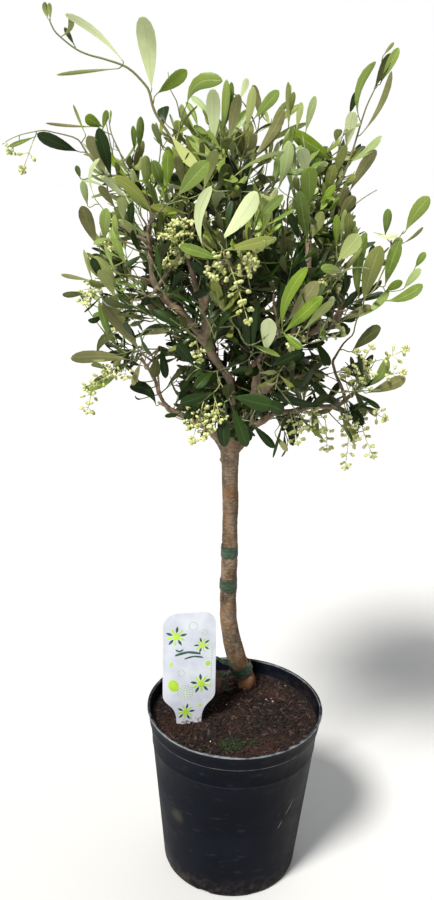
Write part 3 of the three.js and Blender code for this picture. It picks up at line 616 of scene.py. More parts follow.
# The leaves that show best: kind, the side that faces the front (u upper, l lower), foot, tip,
# width, and how far the middle swings sideways.
SHOWY_LEAVES = """
grown l -203 -4 964 -206 -2 979 6.6 0, grown l -201 -3 963 -201 -6 978 4.7 0,
grown l -192 -2 949 -182 -8 968 5.7 6, old u -179 0 942 -189 4 958 4.8 0,
silver l -133 8 929 -186 -14 968 8 6.5, grown l -138 8 923 -196 -6 915 4.3 0,
silver l -106 12 904 -114 -6 969 20.2 0, young u -102 30 902 -72 14 924 13.8 0,
grown u -72 36 893 -37 20 915 16 -11, old u -94 44 874 -97 60 890 14.4 0,
silver u -95 30 849 -105 14 874 7 0, young u -86 10 822 -89 -4 853 9.9 0,
grown l -87 14 863 -60 -6 833 11.9 0, grown u -77 -30 808 -47 -56 842 18 0,
grown u -125 34 846 -126 30 871 6.1 0, grown u -121 34 847 -118 28 880 9.1 0,
grown u -155 16 866 -151 20 885 7 0, grown u -147 16 875 -147 18 885 2.5 0,
young u -155 18 869 -171 8 878 11.9 0, old u -146 10 822 -156 -10 868 14.8 0,
sage l -150 4 823 -165 -14 861 13.8 0, grown l -127 18 833 -115 2 842 9 6,
young l -111 10 810 -110 -6 844 11 0, grown u -93 0 812 -102 -14 840 11.9 0,
young u -89 -6 813 -87 -22 850 13.7 0, old u -179 12 845 -216 -8 861 14.8 0,
grown u -220 4 858 -245 -4 848 4.9 0, young l -172 16 861 -183 10 889 3.2 0,
sage l -161 18 869 -210 6 871 3.2 0, grown u -177 10 819 -180 4 832 6 0,
silver l -162 0 803 -154 -16 840 4.9 -8, silver l -126 -10 802 -149 -30 824 7.8 0,
sage u -103 -10 789 -139 -26 824 11 4, old u -116 0 801 -119 -12 819 8 0,
old u -126 10 772 -125 2 798 8.1 0, sage l -159 0 753 -172 -18 795 14.1 0,
grown u -152 4 760 -148 -12 793 13.1 0, young l -132 0 779 -132 -18 804 12 0,
sage l -141 6 791 -156 -8 814 9 0, old u -155 6 719 -165 0 742 9.3 0,
grown l -140 -6 701 -155 -22 733 12.2 0, old u -112 4 747 -132 -6 734 6.1 0,
young l -166 10 714 -174 2 750 4.1 0, sage l -167 10 717 -197 -2 724 5.2 0,
old l -172 12 704 -197 4 702 7.3 0, old u -158 10 700 -175 6 684 2.6 0,
old u -157 10 684 -171 6 676 6.3 -4, silver u -171 16 792 -175 10 817 8.1 0,
grown u -106 6 790 -130 -4 812 8 0, sage l -114 -6 646 -152 -34 701 17.5 4,
grown u -137 6 643 -157 -8 698 8.4 -4, sage l -125 -4 637 -185 -26 642 13.6 0,
old l -162 4 639 -142 -8 665 9.5 -5, sage l -115 4 633 -123 -4 609 7.5 0,
old u -99 14 582 -127 4 605 13 8, grown u -135 4 628 -176 -8 605 8.5 -6,
old u -73 -20 583 -87 -30 584 5.3 0, sage l -111 0 663 -84 -10 673 7.3 0,
old u -77 -10 672 -111 -16 669 6.2 6, old l -97 0 641 -100 -8 620 12.7 0,
old u -95 10 650 -88 4 616 9.6 0, silver l -50 -96 769 -43 -112 823 10.8 -8,
grown u -32 -96 757 -71 -100 769 11 0, silver l -35 -96 773 -3 -120 820 17.9 0,
sage u -30 -98 766 15 -118 780 10.9 0, young l 0 -40 815 18 -60 808 6.6 3,
grown u 52 -30 768 39 -56 818 14.5 0, old u 45 -16 768 32 -30 796 8.9 0,
grown l 57 -10 769 65 -26 797 11.9 0, old l -39 -20 813 -28 -34 839 13.6 0,
grown l -52 -10 813 -41 -24 852 11.7 0, old u -80 -60 720 -69 -76 743 8.6 0,
old u -40 -80 736 -61 -92 754 8.4 0, silver l -44 0 855 -46 -16 907 14.5 0,
grown u -37 6 863 -33 -4 916 8.8 2, grown u -35 8 868 -28 2 914 7.8 0,
sage l -29 2 859 -21 -10 903 11.7 0, silver l -20 10 898 -13 2 918 7.8 0,
grown l -12 4 869 -7 -8 910 9.7 0, grown u -5 0 881 17 -16 907 11.6 0,
sage l -4 0 844 23 -16 890 11.7 0, grown l 30 14 874 27 8 916 5.9 0,
sage u 31 14 886 33 6 907 5.9 0, young l 30 14 875 30 14 914 3 0, young l 38 14 872 41 8 898 6.9 0,
silver u 47 16 869 54 8 904 8.9 0, young u 83 24 842 32 -4 870 14.9 0,
silver l 13 10 841 21 0 860 7.9 0, young l -21 -10 828 25 -20 852 4.9 -3,
silver u 22 -6 818 29 -20 862 13.7 3, silver l 50 0 830 42 -12 856 14.7 0,
young u 53 -16 802 48 -36 839 18.4 0, sage u 70 4 810 75 -8 841 11.9 0,
sage u 77 10 826 86 -2 860 9.9 0, grown u 70 14 851 82 8 864 5 0, grown l 78 18 861 80 10 874 8.9 0,
silver l 88 14 855 91 0 891 12.8 0, old u 89 12 887 95 8 910 7.8 0, sage l 84 0 788 97 -12 812 12 0,
young u 82 -16 763 79 -28 795 7.9 0, young l 86 -16 768 87 -26 800 5.9 0,
sage u 91 -14 766 91 -26 797 8.9 0, young l 84 -14 747 102 -34 777 16.9 0,
sage l 84 4 792 89 -10 821 8 0, grown l 117 8 942 126 6 954 3.8 0, old l 111 8 912 123 2 944 8.7 0,
grown u 117 8 918 130 0 949 9.6 0, grown l 113 8 915 121 12 943 3.9 0,
sage l 102 10 870 124 -6 928 6.6 5, grown u 98 10 886 109 -2 936 8.7 -8,
silver u 94 14 843 121 2 869 9.9 3, sage l 95 16 814 116 0 856 13 0, sage u 90 14 822 99 8 831 8 0,
grown u 154 8 777 172 -6 813 15.1 -2, grown u 134 10 772 133 0 800 9.1 0,
silver l 123 12 775 146 2 775 5.1 4, sage l 152 8 765 170 0 783 4.1 2,
sage u 117 4 703 126 -16 765 18.4 -3, grown u 138 8 721 146 -8 769 13.3 0,
grown u 114 12 702 113 2 776 12.4 -6, grown l 141 10 756 150 4 771 9.2 0,
grown u 167 6 741 175 0 758 8.2 0, silver u 157 6 719 171 -6 742 10.3 0,
young u 139 8 716 153 -4 729 10.3 0, grown u 140 6 706 173 -10 727 12.4 4,
sage l 95 8 683 123 -8 703 10.4 0, old u 94 12 692 109 4 715 8.4 0, old u 98 16 705 95 10 744 3.6 0,
grown l 84 10 720 110 0 760 5.1 0, old u 97 14 681 110 8 686 6.3 0, old u 85 16 667 105 8 676 7.4 4,
young u 28 -80 692 47 -104 754 12.2 -6, sage l 32 -84 699 56 -110 742 15 0,
young u 30 -82 688 62 -108 728 13.2 0, young u 32 -78 690 55 -96 714 8.6 0,
young u 29 -78 687 47 -92 675 8.6 0, silver l 13 -70 664 15 -92 703 16.4 0,
old u 25 -66 697 25 -80 736 7.7 0, old u 1 -60 663 4 -70 718 7.8 0,
old u -1 -56 662 -9 -66 703 8.9 0, silver l 67 -50 697 77 -66 721 7.8 0,
young l 51 -50 684 75 -70 718 8.8 0, old u 22 -40 644 50 -60 664 14.1 0,
old l -3 -50 652 -5 -60 639 7 -3, sage l 10 -50 639 26 -60 643 5 0,
old l -41 -70 682 -43 -80 666 7.8 0, old u -32 -80 712 -42 -90 701 9.5 0,
old l 109 10 650 135 -8 680 15.8 -3, sage l 127 2 607 164 -14 630 13.8 3,
grown u 129 8 613 145 -2 647 12.8 4, grown u 117 10 608 129 2 627 9.7 0,
old u 110 8 595 126 -2 572 13 0, sage l 105 6 593 109 0 568 5.4 0, old u 99 10 586 68 4 617 8.6 0,
old l 101 14 595 76 6 599 9.8 0, old l 66 0 591 86 -10 607 9.6 0,
old u 89 -10 597 24 -30 613 9.5 -3, grown u 57 -10 581 82 -20 561 4.3 0,
old u 70 10 661 86 2 636 10.6 0, old u -25 -70 613 -24 -82 570 14 0,
old u -18 -66 609 -1 -74 568 13.1 0, old u -8 -50 589 3 -60 570 10.3 0,
old u 4 -50 585 28 -60 563 9.2 0, old u -18 -76 621 21 -90 616 16.7 0,
old u 13 -60 614 35 -70 605 14.1 0, old u -36 -70 623 -69 -80 613 11.9 0,
old u -46 -64 613 -65 -72 594 9 0, old l -22 -76 617 -22 -88 637 12.8 0,
old u -65 -50 629 -46 -60 651 13.1 0, old u 39 -20 583 29 -24 539 3.4 0,
sage l 31 -20 563 44 -26 548 6.4 0, old u -56 -60 647 -73 -70 670 12.8 0,
old u -37 -60 641 -54 -74 628 11.9 0
"""

# Where the leaves leave the view open from front to back: x and z in the plane 30 mm behind the
# pot's middle, and a radius.
OPEN_PLANE = 30
OPENINGS = """
-131 900 24, -135 862 10, -139 847 7, -116 862 6, -109 850 5, -116 827 5, -100 806 4, -117 786 9
-126 748 9, -122 734 6, -97 669 9, -105 650 9, -107 609 10, -87 587 10, -83 624 4, 94 640 10
95 620 5, 82 606 4, 88 652 6, 102 737 9, 112 720 5, 66 884 19, 70 915 24, 39 928 21
5 861 6, 6 922 15, -27 877 4, 132 884 28, 132 831 17, 119 806 9, 157 817 13, -159 899 21
-184 875 24, -201 836 24, -195 796 17, -192 755 13, 157 671 11, 137 646 4, 59 595 4, 42 589 3
94 561 13, -205 659 24, -162 644 5, -158 582 15, -107 555 24, 25 551 15, -58 878 5, -52 921 11
-74 943 17, -10 931 15, -103 846 8, 0 877 8, -46 894 10, 4 843 7, -115 599 8, 107 741 7
102 840 7, 132 667 10, -130 819 6, 13 832 7, -118 772 6, 108 713 6, 70 862 7, -27 882 6
32 814 6, -121 727 5
"""

# The outline of the crown in the same plane: x and z.
CROWN_OUTLINE = """
-211 984, -200 974, -171 968, -124 920, -118 967, -106 949, -106 915, -101 911, -82 927, -72 924,
-86 904, -79 892, -67 913, -51 924, -24 912, -14 920, 2 903, 22 907, 31 918, 47 894,
57 905, 49 870, 68 855, 88 879, 107 935, 127 955, 135 951, 126 909, 102 866, 110 860,
123 867, 116 860, 121 845, 97 814, 106 807, 103 785, 108 778, 126 774, 141 798, 139 779,
151 771, 163 802, 181 809, 173 774, 154 752, 147 730, 156 726, 181 757, 172 728, 180 719,
129 696, 91 654, 107 648, 130 658, 146 642, 158 654, 169 650, 160 634, 169 628, 169 612,
140 595, 153 576, 144 569, 152 554, 146 531, 139 530, 133 548, 118 537, 125 524, 111 519,
108 569, 93 579, 82 567, 96 551, 94 536, 65 559, 53 535, 57 523, 49 531, 42 517,
13 542, -53 535, -78 564, -117 574, -130 596, -126 608, -142 616, -170 591, -176 570, -181 572,
-177 585, -183 595, -171 608, -194 629, -171 634, -154 666, -165 678, -175 669, -166 684, -171 690,
-186 680, -179 686, -186 697, -203 694, -202 703, -176 708, -203 720, -174 722, -179 742, -169 749,
-180 767, -177 796, -186 830, -173 823, -168 832, -181 845, -205 844, -223 854, -250 841, -259 850,
-231 864, -181 855, -176 860, -187 870, -183 882, -176 876, -152 886, -130 838, -129 867, -121 880,
-110 872, -103 880, -114 908, -133 923, -202 916, -154 927, -201 952, -213 970,
"""

# Limbs that show between the leaves, from one height to another.
WOOD_SEEN = {
    "bough_left": (632, 764),
    "bough_centre": (604, 750),
    "bough_low_left": (549, 630),
    "bough_low_right": (560, 600),
}

# The flower sprays that show best: foot, tip, pairs of branches, and whether they are crowded.
SPRAYS = """
-73 -30 750 -81 -46 781 4 1, -70 -34 757 -68 -50 786 3 1, -72 -34 753 -89 -46 771 3 1,
-25 -92 753 -6 -112 704 6 0, -13 -80 768 -7 -96 759 3 0, -19 -86 748 -3 -100 752 3 0,
-32 -80 751 -41 -96 743 3 0, 49 -20 751 39 -40 743 3 0, 51 -30 727 74 -50 742 4 0,
56 -30 735 63 -46 732 3 0, 89 10 666 95 0 676 2 0, 112 4 607 126 -14 661 4 0,
114 4 603 112 -12 655 4 0, 117 6 605 125 -10 636 3 1, 112 4 601 101 -8 634 3 0,
131 4 641 164 -6 659 3 0, 138 2 626 163 -6 634 3 0, 107 6 595 109 -6 525 6 0,
108 8 593 116 -4 556 3 1, 121 4 601 139 -6 539 6 0, 128 2 588 148 -6 582 3 0,
62 -8 598 82 -20 570 3 0, 69 -8 596 66 -18 572 3 0, 85 0 576 88 -8 546 3 0,
45 -16 589 54 -26 559 3 0, 49 -14 590 56 -26 572 3 0, -166 6 714 -173 -4 697 3 0,
-163 6 720 -165 -6 706 2 0, -137 2 631 -171 -14 607 5 0, -139 4 632 -151 -10 625 3 0,
-163 0 611 -171 -8 581 4 0, -131 4 635 -132 -4 618 2 0, -55 -50 673 -51 -66 655 3 0,
-46 -60 610 -56 -78 574 4 0, -44 -60 608 -45 -76 577 3 0, -50 -56 610 -59 -74 590 3 0,
-34 -66 616 -36 -82 589 4 0, -36 -66 618 -29 -82 598 2 0, -222 2 854 -232 -4 826 2 0,
-235 0 854 -244 -4 844 1 0, -146 10 771 -148 -2 754 3 0, -87 -10 751 -84 -24 743 2 0,
-78 -20 755 -73 -34 747 2 1, 87 0 706 69 -20 732 3 0, -32 -80 769 -36 -94 755 2 0,
47 -60 690 37 -76 675 2 0
"""


def rows(text):
    """The words of each row of a table. Commas and line ends part the rows."""
    return [row.split() for row in text.replace("\n", ",").split(",") if row.strip()]


def number_rows(text):
    """The same for a table of numbers."""
    return np.array([[float(word) for word in row] for row in rows(text)])


def nodes_called(*starts):
    """The frame's nodes whose names start in one of these ways."""
    return sorted(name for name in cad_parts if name.startswith(starts))


def box_of(name):
    """The lowest and highest corner of a node's box."""
    return (np.array(corner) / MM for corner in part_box(name))


MASS_NAMES = nodes_called("leaves_")
SHOOT_NAMES = nodes_called("shoot_")
FLOWER_NAMES = nodes_called("flowers_")
CROWN_MIDDLE = np.array([-18.0, 40.0, 700.0])
SHOOT_SPACE = 41  # one seeded shoot for each cube of this side
INNER_SPACE = 13  # between the short shoots along a limb
LEAF_KINDS = ("old", "grown", "young", "sage", "silver")
MOST_WOOD = 30000  # points
STIFF = 0.55  # how straight a twig arrives where it is bound


class Wood:
    """All the wood grown so far, as points with their growing direction and radius."""

    def __init__(self):
        self.at = np.zeros((MOST_WOOD, 3))
        self.way = np.zeros((MOST_WOOD, 3))
        self.thick = np.zeros(MOST_WOOD)
        self.count = 0
        self.twigs = []

    def lay(self, points, radii, keep=True):
        """Takes in a line of wood, and keeps it as a twig to be made."""
        new = slice(self.count, self.count + len(points))
        self.at[new], self.way[new], self.thick[new] = points, along(points), radii
        self.count += len(points)
        if keep:
            self.twigs.append((points, np.asarray(radii, float)))

    def reach(self, target):
        """How far the nearest wood is from the target."""
        return np.linalg.norm(self.at[: self.count] - target, axis=1).min()

    def grow(self, target, heading, tip_radius):
        """Grows one twig to the target from the wood that suits best: near, pointing that way and
        thick enough. It arrives along heading."""
        gap = target - self.at[: self.count]
        far = np.maximum(np.linalg.norm(gap, axis=1), 1e-6)
        ahead = (gap * self.way[: self.count]).sum(1) / far
        onward = gap @ heading / far
        too_thin = self.thick[: self.count] < tip_radius * 0.9
        cost = far * (1.5 - 0.35 * ahead - 0.45 * onward) + 30 * too_thin
        best = int(cost.argmin())
        length = far[best]
        if length < TOUCHING:
            return
        start, way = self.at[best].copy(), self.way[best]
        leave = unit(way * 0.55 + unit(gap[best]) * 0.8) * length * 0.8
        arrive = heading * length * STIFF
        count = max(3, round(length / 6))
        t = np.linspace(0, 1, count + 1)[:, None]
        points = (
            (2 * t**3 - 3 * t**2 + 1) * start
            + (t**3 - 2 * t**2 + t) * leave
            + (3 * t**2 - 2 * t**3) * target
            + (t**3 - t**2) * arrive
        )
        points[1:-1] += draw.normal(0, 0.35, (count - 1, 3))
        foot = min(self.thick[best] * 0.85, tip_radius + 0.011 * length)
        self.lay(points, np.linspace(max(foot, tip_radius), tip_radius, count + 1))


wood = Wood()
for name in LIMBS:
    course = knotted(name, 4.0)
    if name == "trunk":
        course = course[-4:]
    wood.lay(course[:, :3], course[:, 3], keep=False)

leaves = {kind: [] for kind in LEAF_KINDS}
LEAF_STEPS = np.array([0, 0.05, 0.14, 0.28, 0.45, 0.62, 0.78, 0.9, 0.97, 1.0])
LEAF_OUTLINE = np.array([0.0, 0.0, 0.22, 0.52, 0.8, 0.97, 0.97, 0.74, 0.4, 0.08])
LEAF_STALK = 1.1  # width of the leaf stalk
LEAF_THICK = 0.45
LEAF_ACROSS = (-1, -0.55, 0, 0.55, 1)
MOST_LEAVES = 1500  # in one piece, which keeps it under 200,000 triangles


def leaf_shape(foot, tip, width, face, swing, arch, fold, curl, twist):
    """One closed leaf from foot to tip. face is the way that its upper side looks, swing moves
    its middle sideways, arch lifts its middle, fold raises both halves from the rib, curl rolls
    their margins down again and twist turns it along its length."""
    line = tip - foot
    length = np.linalg.norm(line)
    face = unit(face - line * face.dot(line) / length**2)
    side = np.cross(line / length, face)
    hump = 4 * LEAF_STEPS * (1 - LEAF_STEPS)
    middle = foot + np.outer(LEAF_STEPS, line)
    middle = middle + np.outer(hump * arch, face) + np.outer(hump * swing, side)
    ways = along(middle)
    half = np.maximum(LEAF_OUTLINE * width, LEAF_STALK) / 2
    half[-1] = width * 0.03
    turn = twist * LEAF_STEPS
    sides = np.cos(turn)[:, None] * side + np.sin(turn)[:, None] * face
    sides -= ways * (sides * ways).sum(1)[:, None]
    sides /= np.linalg.norm(sides, axis=1, keepdims=True)
    ups = np.cross(sides, ways)
    body = np.minimum(LEAF_THICK, half * 0.7)[:, None]
    points, spots = [], []
    for a in LEAF_ACROSS:
        rise = half * (abs(a) * math.sin(fold) - a * a * curl)
        lift = body[:, 0] * (0.5 if 0 < abs(a) < 1 else 0.0)
        out = a * half * math.cos(fold)
        points.append(middle + sides * out[:, None] + ups * (rise + lift)[:, None])
        spots.append(np.stack([np.full(len(half), a), LEAF_STEPS], 1))
    points.append(middle - ups * (body * 0.7))
    spots.append(np.stack([np.zeros(len(half)), LEAF_STEPS], 1))
    return np.concatenate(points), np.concatenate(spots)


def leaf_faces():
    """The faces of one leaf: those of its upper side, then its lower side and ends."""
    n = len(LEAF_STEPS)
    columns = len(LEAF_ACROSS) + 1  # the last runs along the under side of the rib
    strips = [
        [(c * n + r, d * n + r, d * n + r + 1, c * n + r + 1) for r in range(n - 1)]
        for c, d in zip(range(columns), [*range(1, columns), 0])
    ]
    *upper, left, right = strips
    foot, tip = range(0, columns * n, n), range(n - 1, columns * n, n)
    return sum(upper, []), left + right + [tuple(foot[::-1]), tuple(tip)]


def put_leaf(kind, *shape, **bends):
    """Adds one leaf of a kind, with a shade of its own; silver leaves keep to the pale shades."""
    points, spots = leaf_shape(*shape, **bends)
    shade = draw.random()
    if kind == "silver":
        shade = 0.5 + 0.5 * shade
    shade = np.full((len(points), 1), shade)
    leaves[kind].append((points, np.hstack([spots, shade])))


TOUCHING = 2.5  # a foot this near to wood needs no twig of its own


def grow_leading_shoots():
    """The long shoots that stand out of the leaves, each joined to the wood at its foot."""
    for foot_radius, tip_radius, course in LEADERS.values():
        points = curve_through(course, 5.0)
        heading = unit(points[1] - points[0])
        if wood.reach(points[0]) > 3:
            wood.grow(points[0], heading, foot_radius)
        wood.lay(points, np.linspace(foot_radius, tip_radius, len(points)))


def grow_showy_leaves():
    """The leaves that show best, nearest to the wood first, each on a twig of its own where there
    is no wood yet. Returns marks along them, which later leaves keep clear of."""
    showy = []
    for kind, side, *numbers in rows(SHOWY_LEAVES):
        x, y, z, u, v, w, width, swing = map(float, numbers)
        showy.append((kind, side, np.array([x, y, z]), np.array([u, v, w]), width, swing))
    showy.sort(key=lambda leaf: wood.reach(leaf[2]))
    marks = []
    for kind, side, foot, tip, width, swing in showy:
        line = unit(tip - foot)
        if wood.reach(foot) > TOUCHING:
            wood.grow(foot, unit(line * 0.8 + np.array([0, 0, 0.2])), 0.55)
        to_view = unit(VIEWPOINT - (foot + tip) / 2)
        if kind == "silver":  # turned half towards the lamp, so that it gleams
            to_view = unit(to_view + unit(np.array(KEY_FROM)) * 0.8)
        across = np.cross(line, to_view)
        lean = math.radians(draw.uniform(-24, 24) * (kind != "silver"))
        face = to_view * math.cos(lean) + unit(across) * math.sin(lean)
        length = np.linalg.norm(tip - foot)
        bends = dict(
            swing=swing if side == "u" else -swing,
            arch=draw.uniform(0.0, 0.1) * length,
            fold=draw.uniform(0.15, 0.45),
            curl=draw.uniform(0.15, 0.45),
            twist=draw.uniform(-0.35, 0.35),
        )
        face = face if side == "u" else -face
        put_leaf(kind, foot, tip, width / max(math.cos(lean), 0.8), face, **bends)
        marks += [foot + (tip - foot) * t for t in (0.25, 0.45, 0.65, 0.85)]
    return marks


grow_leading_shoots()
marks = grow_showy_leaves()
for name, (low, high) in WOOD_SEEN.items():
    marks += [spot[:3] for spot in curve_through(LIMBS[name], 6.0) if low < spot[2] < high]
mark_rays = np.array(marks) - VIEWPOINT
mark_far = np.linalg.norm(mark_rays, axis=1)
mark_ways = mark_rays / mark_far[:, None]
VIEW_CLEAR = math.cos(0.0062)  # the view stays free within this angle round a mark
BEFORE_MARK = 4  # and from this far before it

open_spots = number_rows(OPENINGS)
outline = number_rows(CROWN_OUTLINE)


def seen_in_plane(points):
    """Where the lines of sight through the points meet the plane of the outline: x and z."""
    rays = points - VIEWPOINT
    hits = VIEWPOINT + rays * ((OPEN_PLANE - VIEWPOINT[1]) / rays[:, 1])[:, None]
    return hits[:, [0, 2]]


def outside_crown(points):
    """Whether any point is seen outside the outline or in an opening."""
    hits = seen_in_plane(points)
    (ax, az), (bx, bz) = outline.T, np.roll(outline, -1, axis=0).T
    x, z = hits[:, :1], hits[:, 1:]
    rise = np.where(bz == az, 1e-9, bz - az)
    crossing = ((az > z) != (bz > z)) & (x < (bx - ax) * (z - az) / rise + ax)
    if (crossing.sum(1) % 2 == 0).any():
        return True
    gap = hits[:, None] - open_spots[None, :, :2]
    return (np.linalg.norm(gap, axis=2) < open_spots[:, 2]).any()


def in_the_way(points):
    """Whether any point hides a leaf or a limb that shows from the front, or leaves the crown."""
    rays = points - VIEWPOINT
    far = np.linalg.norm(rays, axis=1)
    near = (rays / far[:, None]) @ mark_ways.T > VIEW_CLEAR
    hides = near & (far[:, None] < mark_far[None] - BEFORE_MARK)
    return hides.any() or outside_crown(points)


PAST_BOX = 6  # how far a leaf may reach past the frame's box
low_corner = np.array(cad_box[0]) / MM - PAST_BOX
high_corner = np.array(cad_box[1]) / MM + PAST_BOX


def too_far(point):
    """Whether a point lies past the frame's box."""
    return (point < low_corner).any() or (point > high_corner).any()


DARK_BELOW, LIGHT_ABOVE = 640, 885  # heights between which the leaves turn lighter


def kind_for(place, outside):
    """The kind of leaf for a shoot: old dark ones low and inside, young and pale ones outside
    and at the top. Besides the leaves' age, this paints light and shade into the crown's colours:
    painted light at the top and outside, painted shade low and inside."""
    height = np.clip((place[2] - DARK_BELOW) / (LIGHT_ABOVE - DARK_BELOW), 0, 1)
    leftward = np.clip((40 - place[0]) / 120, 0, 1)  # the low left lies in the crown's own shade
    light = height * (0.5 + 0.5 * outside) + 0.12 * outside
    light = max(0, light - 0.2 * (1 - height) * leftward)
    chances = np.array([max(0.04, 2.1 - 2.9 * light), 0.55, 0.45 * light**2, 0.4, 0.2 * light])
    return LEAF_KINDS[int(draw.choice(5, p=chances / chances.sum()))]


def leafy_shoot(points, kind, length, first=0.25, gaps=(8, 14)):
    """Leaves in pairs along a shoot, each pair turned square to the last, shorter and closer
    to the shoot towards its tip. Says how many found room."""
    ways = along(points)
    placed = 0
    run = run_of(points)
    at, turn = run[-1] * first + draw.uniform(0, 5), draw.uniform(0, math.pi)
    while at < run[-1] + 1:
        share = min(at / run[-1], 1.0)
        foot = np.array([np.interp(at, run, points[:, k]) for k in range(3)])
        way = ways[min(int(np.searchsorted(run, at)), len(points) - 1)]
        side, other = square_to(way, (0.13, 0.3, 0.94))
        lean = math.radians(draw.uniform(40, 70) * (1 - 0.6 * share**2))
        for half_turn in (0, math.pi):
            a = turn + half_turn + draw.uniform(-0.3, 0.3)
            out = side * math.cos(a) + other * math.sin(a)
            angle = lean + math.radians(draw.uniform(-12, 12))
            line = way * math.cos(angle) + out * math.sin(angle)
            face = unit(way * math.sin(angle) - out * math.cos(angle) + draw.normal(0, 0.3, 3))
            size = draw.uniform(*length) * (1 - 0.4 * share**3)
            bends = dict(
                swing=draw.normal(0, 0.04) * size,
                arch=draw.uniform(-0.12, 0.12) * size,
                fold=draw.uniform(0.1, 0.5),
                curl=draw.uniform(0.1, 0.45),
                twist=draw.normal(0, 0.45),
            )
            width = draw.uniform(0.19, 0.28)
            for shorter in (1.0, 0.72):
                tip = foot + line * size * shorter
                seen = foot + np.outer((0.3, 0.6, 0.95), tip - foot)
                if not too_far(tip) and not in_the_way(seen):
                    put_leaf(kind, foot + out * 0.5, tip, width * size * shorter, face, **bends)
                    placed += 1
                    break
        turn += math.pi / 2
        at += draw.uniform(*gaps) * (1 - 0.35 * share)
    return placed


def short_shoot(foot, tip, radius, kind, **leafing):
    """One leafy shoot that sags or lifts a little, from its foot to its tip. Says how many
    leaves found room on it."""
    steps = np.linspace(0, 1, 8)[:, None]
    bow = np.array([0, 0, draw.uniform(-2, 5)]) + draw.normal(0, 1.2, 3)
    points = foot + (tip - foot) * steps + bow * 4 * steps * (steps - 1)
    wood.lay(points, np.linspace(radius, 0.5, 8))
    return leafy_shoot(points, kind, **leafing)


SHOOT_RADIUS = 0.85
UPRIGHT_ABOVE = 660  # the height from which shoots rise
SHORT_BELOW, LONG_ABOVE = 600, 800  # heights between which the leaves grow longer


def seeded_shoots():
    """Shoots that fill each mass of leaves: the branchlets of the mass first, then its shoots
    from the inside out."""
    aims = []
    for name in MASS_NAMES:
        low, high = box_of(name)
        middle, half = (low + high) / 2, (high - low) / 2
        count = max(3, round(4 / 3 * math.pi * half.prod() / SHOOT_SPACE**3))
        for _ in range(max(1, count // 6)):
            spot = middle + half * draw.normal(0, 0.28, 3)
            if not outside_crown(spot[None]):
                wood.grow(spot, unit(unit(spot - CROWN_MIDDLE) + (0, 0, 0.5)), 1.15)
        for _ in range(count):
            ball = unit(draw.normal(0, 1, 3)) * draw.uniform(0.1, 1) ** 0.45
            aims.append((middle + half * ball * 0.9, np.linalg.norm(ball), middle, half))
    aims.sort(key=lambda aim: wood.reach(aim[0]))
    for spot, outside, middle, half in aims:
        outward = unit(unit(spot - CROWN_MIDDLE) + 0.5 * unit((spot - middle) / half))
        rise = 0.8 if spot[2] > UPRIGHT_ABOVE else draw.uniform(-0.4, 0.5)
        heading = unit(outward + np.array([0, 0, rise]) + draw.normal(0, 0.3, 3))
        long = draw.uniform(28, 54)
        foot, tip = spot - heading * long * 0.7, spot + heading * long * 0.3
        if too_far(tip) or outside_crown(np.array([foot, tip])):
            foot, tip = spot - heading * long * 0.8, spot - heading * long * 0.1
            if too_far(tip) or outside_crown(np.array([foot, tip])):
                continue
        before = len(wood.twigs)
        wood.grow(foot, heading, SHOOT_RADIUS)
        height = np.clip((spot[2] - SHORT_BELOW) / (LONG_ABOVE - SHORT_BELOW), 0, 1)
        length = (25 + 6 * height, 42 + 12 * height)
        kind = kind_for(spot, outside)
        if not short_shoot(foot, tip, SHOOT_RADIUS, kind, length=length, first=0.1):
            del wood.twigs[before:]


def inner_shoots():
    """Short dark-leaved shoots straight from the limbs, which close the inside of the crown. Their
    leaves are old ones, whose dark colour is partly painted shade there.
    """
    for name, stations in LIMBS.items():
        if name == "trunk":
            continue
        course = curve_through(stations, INNER_SPACE)
        ways = along(course[:, :3])
        for spot, way in list(zip(course, ways))[2:]:
            for _ in range(2):
                out = unit(np.cross(way, draw.normal(0, 1, 3)))
                heading = unit(out + way * draw.uniform(0.0, 0.9))
                foot = spot[:3] + out * spot[3] * 0.6
                tip = foot + heading * draw.uniform(18, 42)
                if outside_crown(tip[None]) or too_far(tip):
                    continue
                # Old dark leaves inside the crown, their darkness partly painted shade.
                kind = "old" if draw.random() < (0.95 if spot[2] < 740 else 0.6) else "sage"
                if not short_shoot(foot, tip, 0.8, kind, length=(24, 42), gaps=(7, 12)):
                    wood.twigs.pop()


def free_shoots():
    """The free shoots at the front and back, which the outline from the front hardly limits."""
    for name in SHOOT_NAMES:
        if "back" not in name and "front" not in name:
            continue
        low, high = box_of(name)
        middle = (low + high) / 2
        outward = unit(middle - CROWN_MIDDLE)
        reach = np.abs(outward) @ (high - low) / 2
        foot, tip = middle - outward * reach * 0.9, middle + outward * reach * 0.55
        wood.grow(foot, outward, 1.0)
        kind = "young" if "back" in name else "grown"
        short_shoot(foot, tip, 1.0, kind, length=(34, 52), first=0.15, gaps=(11, 16))


inner_shoots()
seeded_shoots()
free_shoots()

# ------------------------------------------------------------------ flower sprays

BUD_LONG = 4.8
BUD_WIDE = 3.5
buds, stalks = [], []


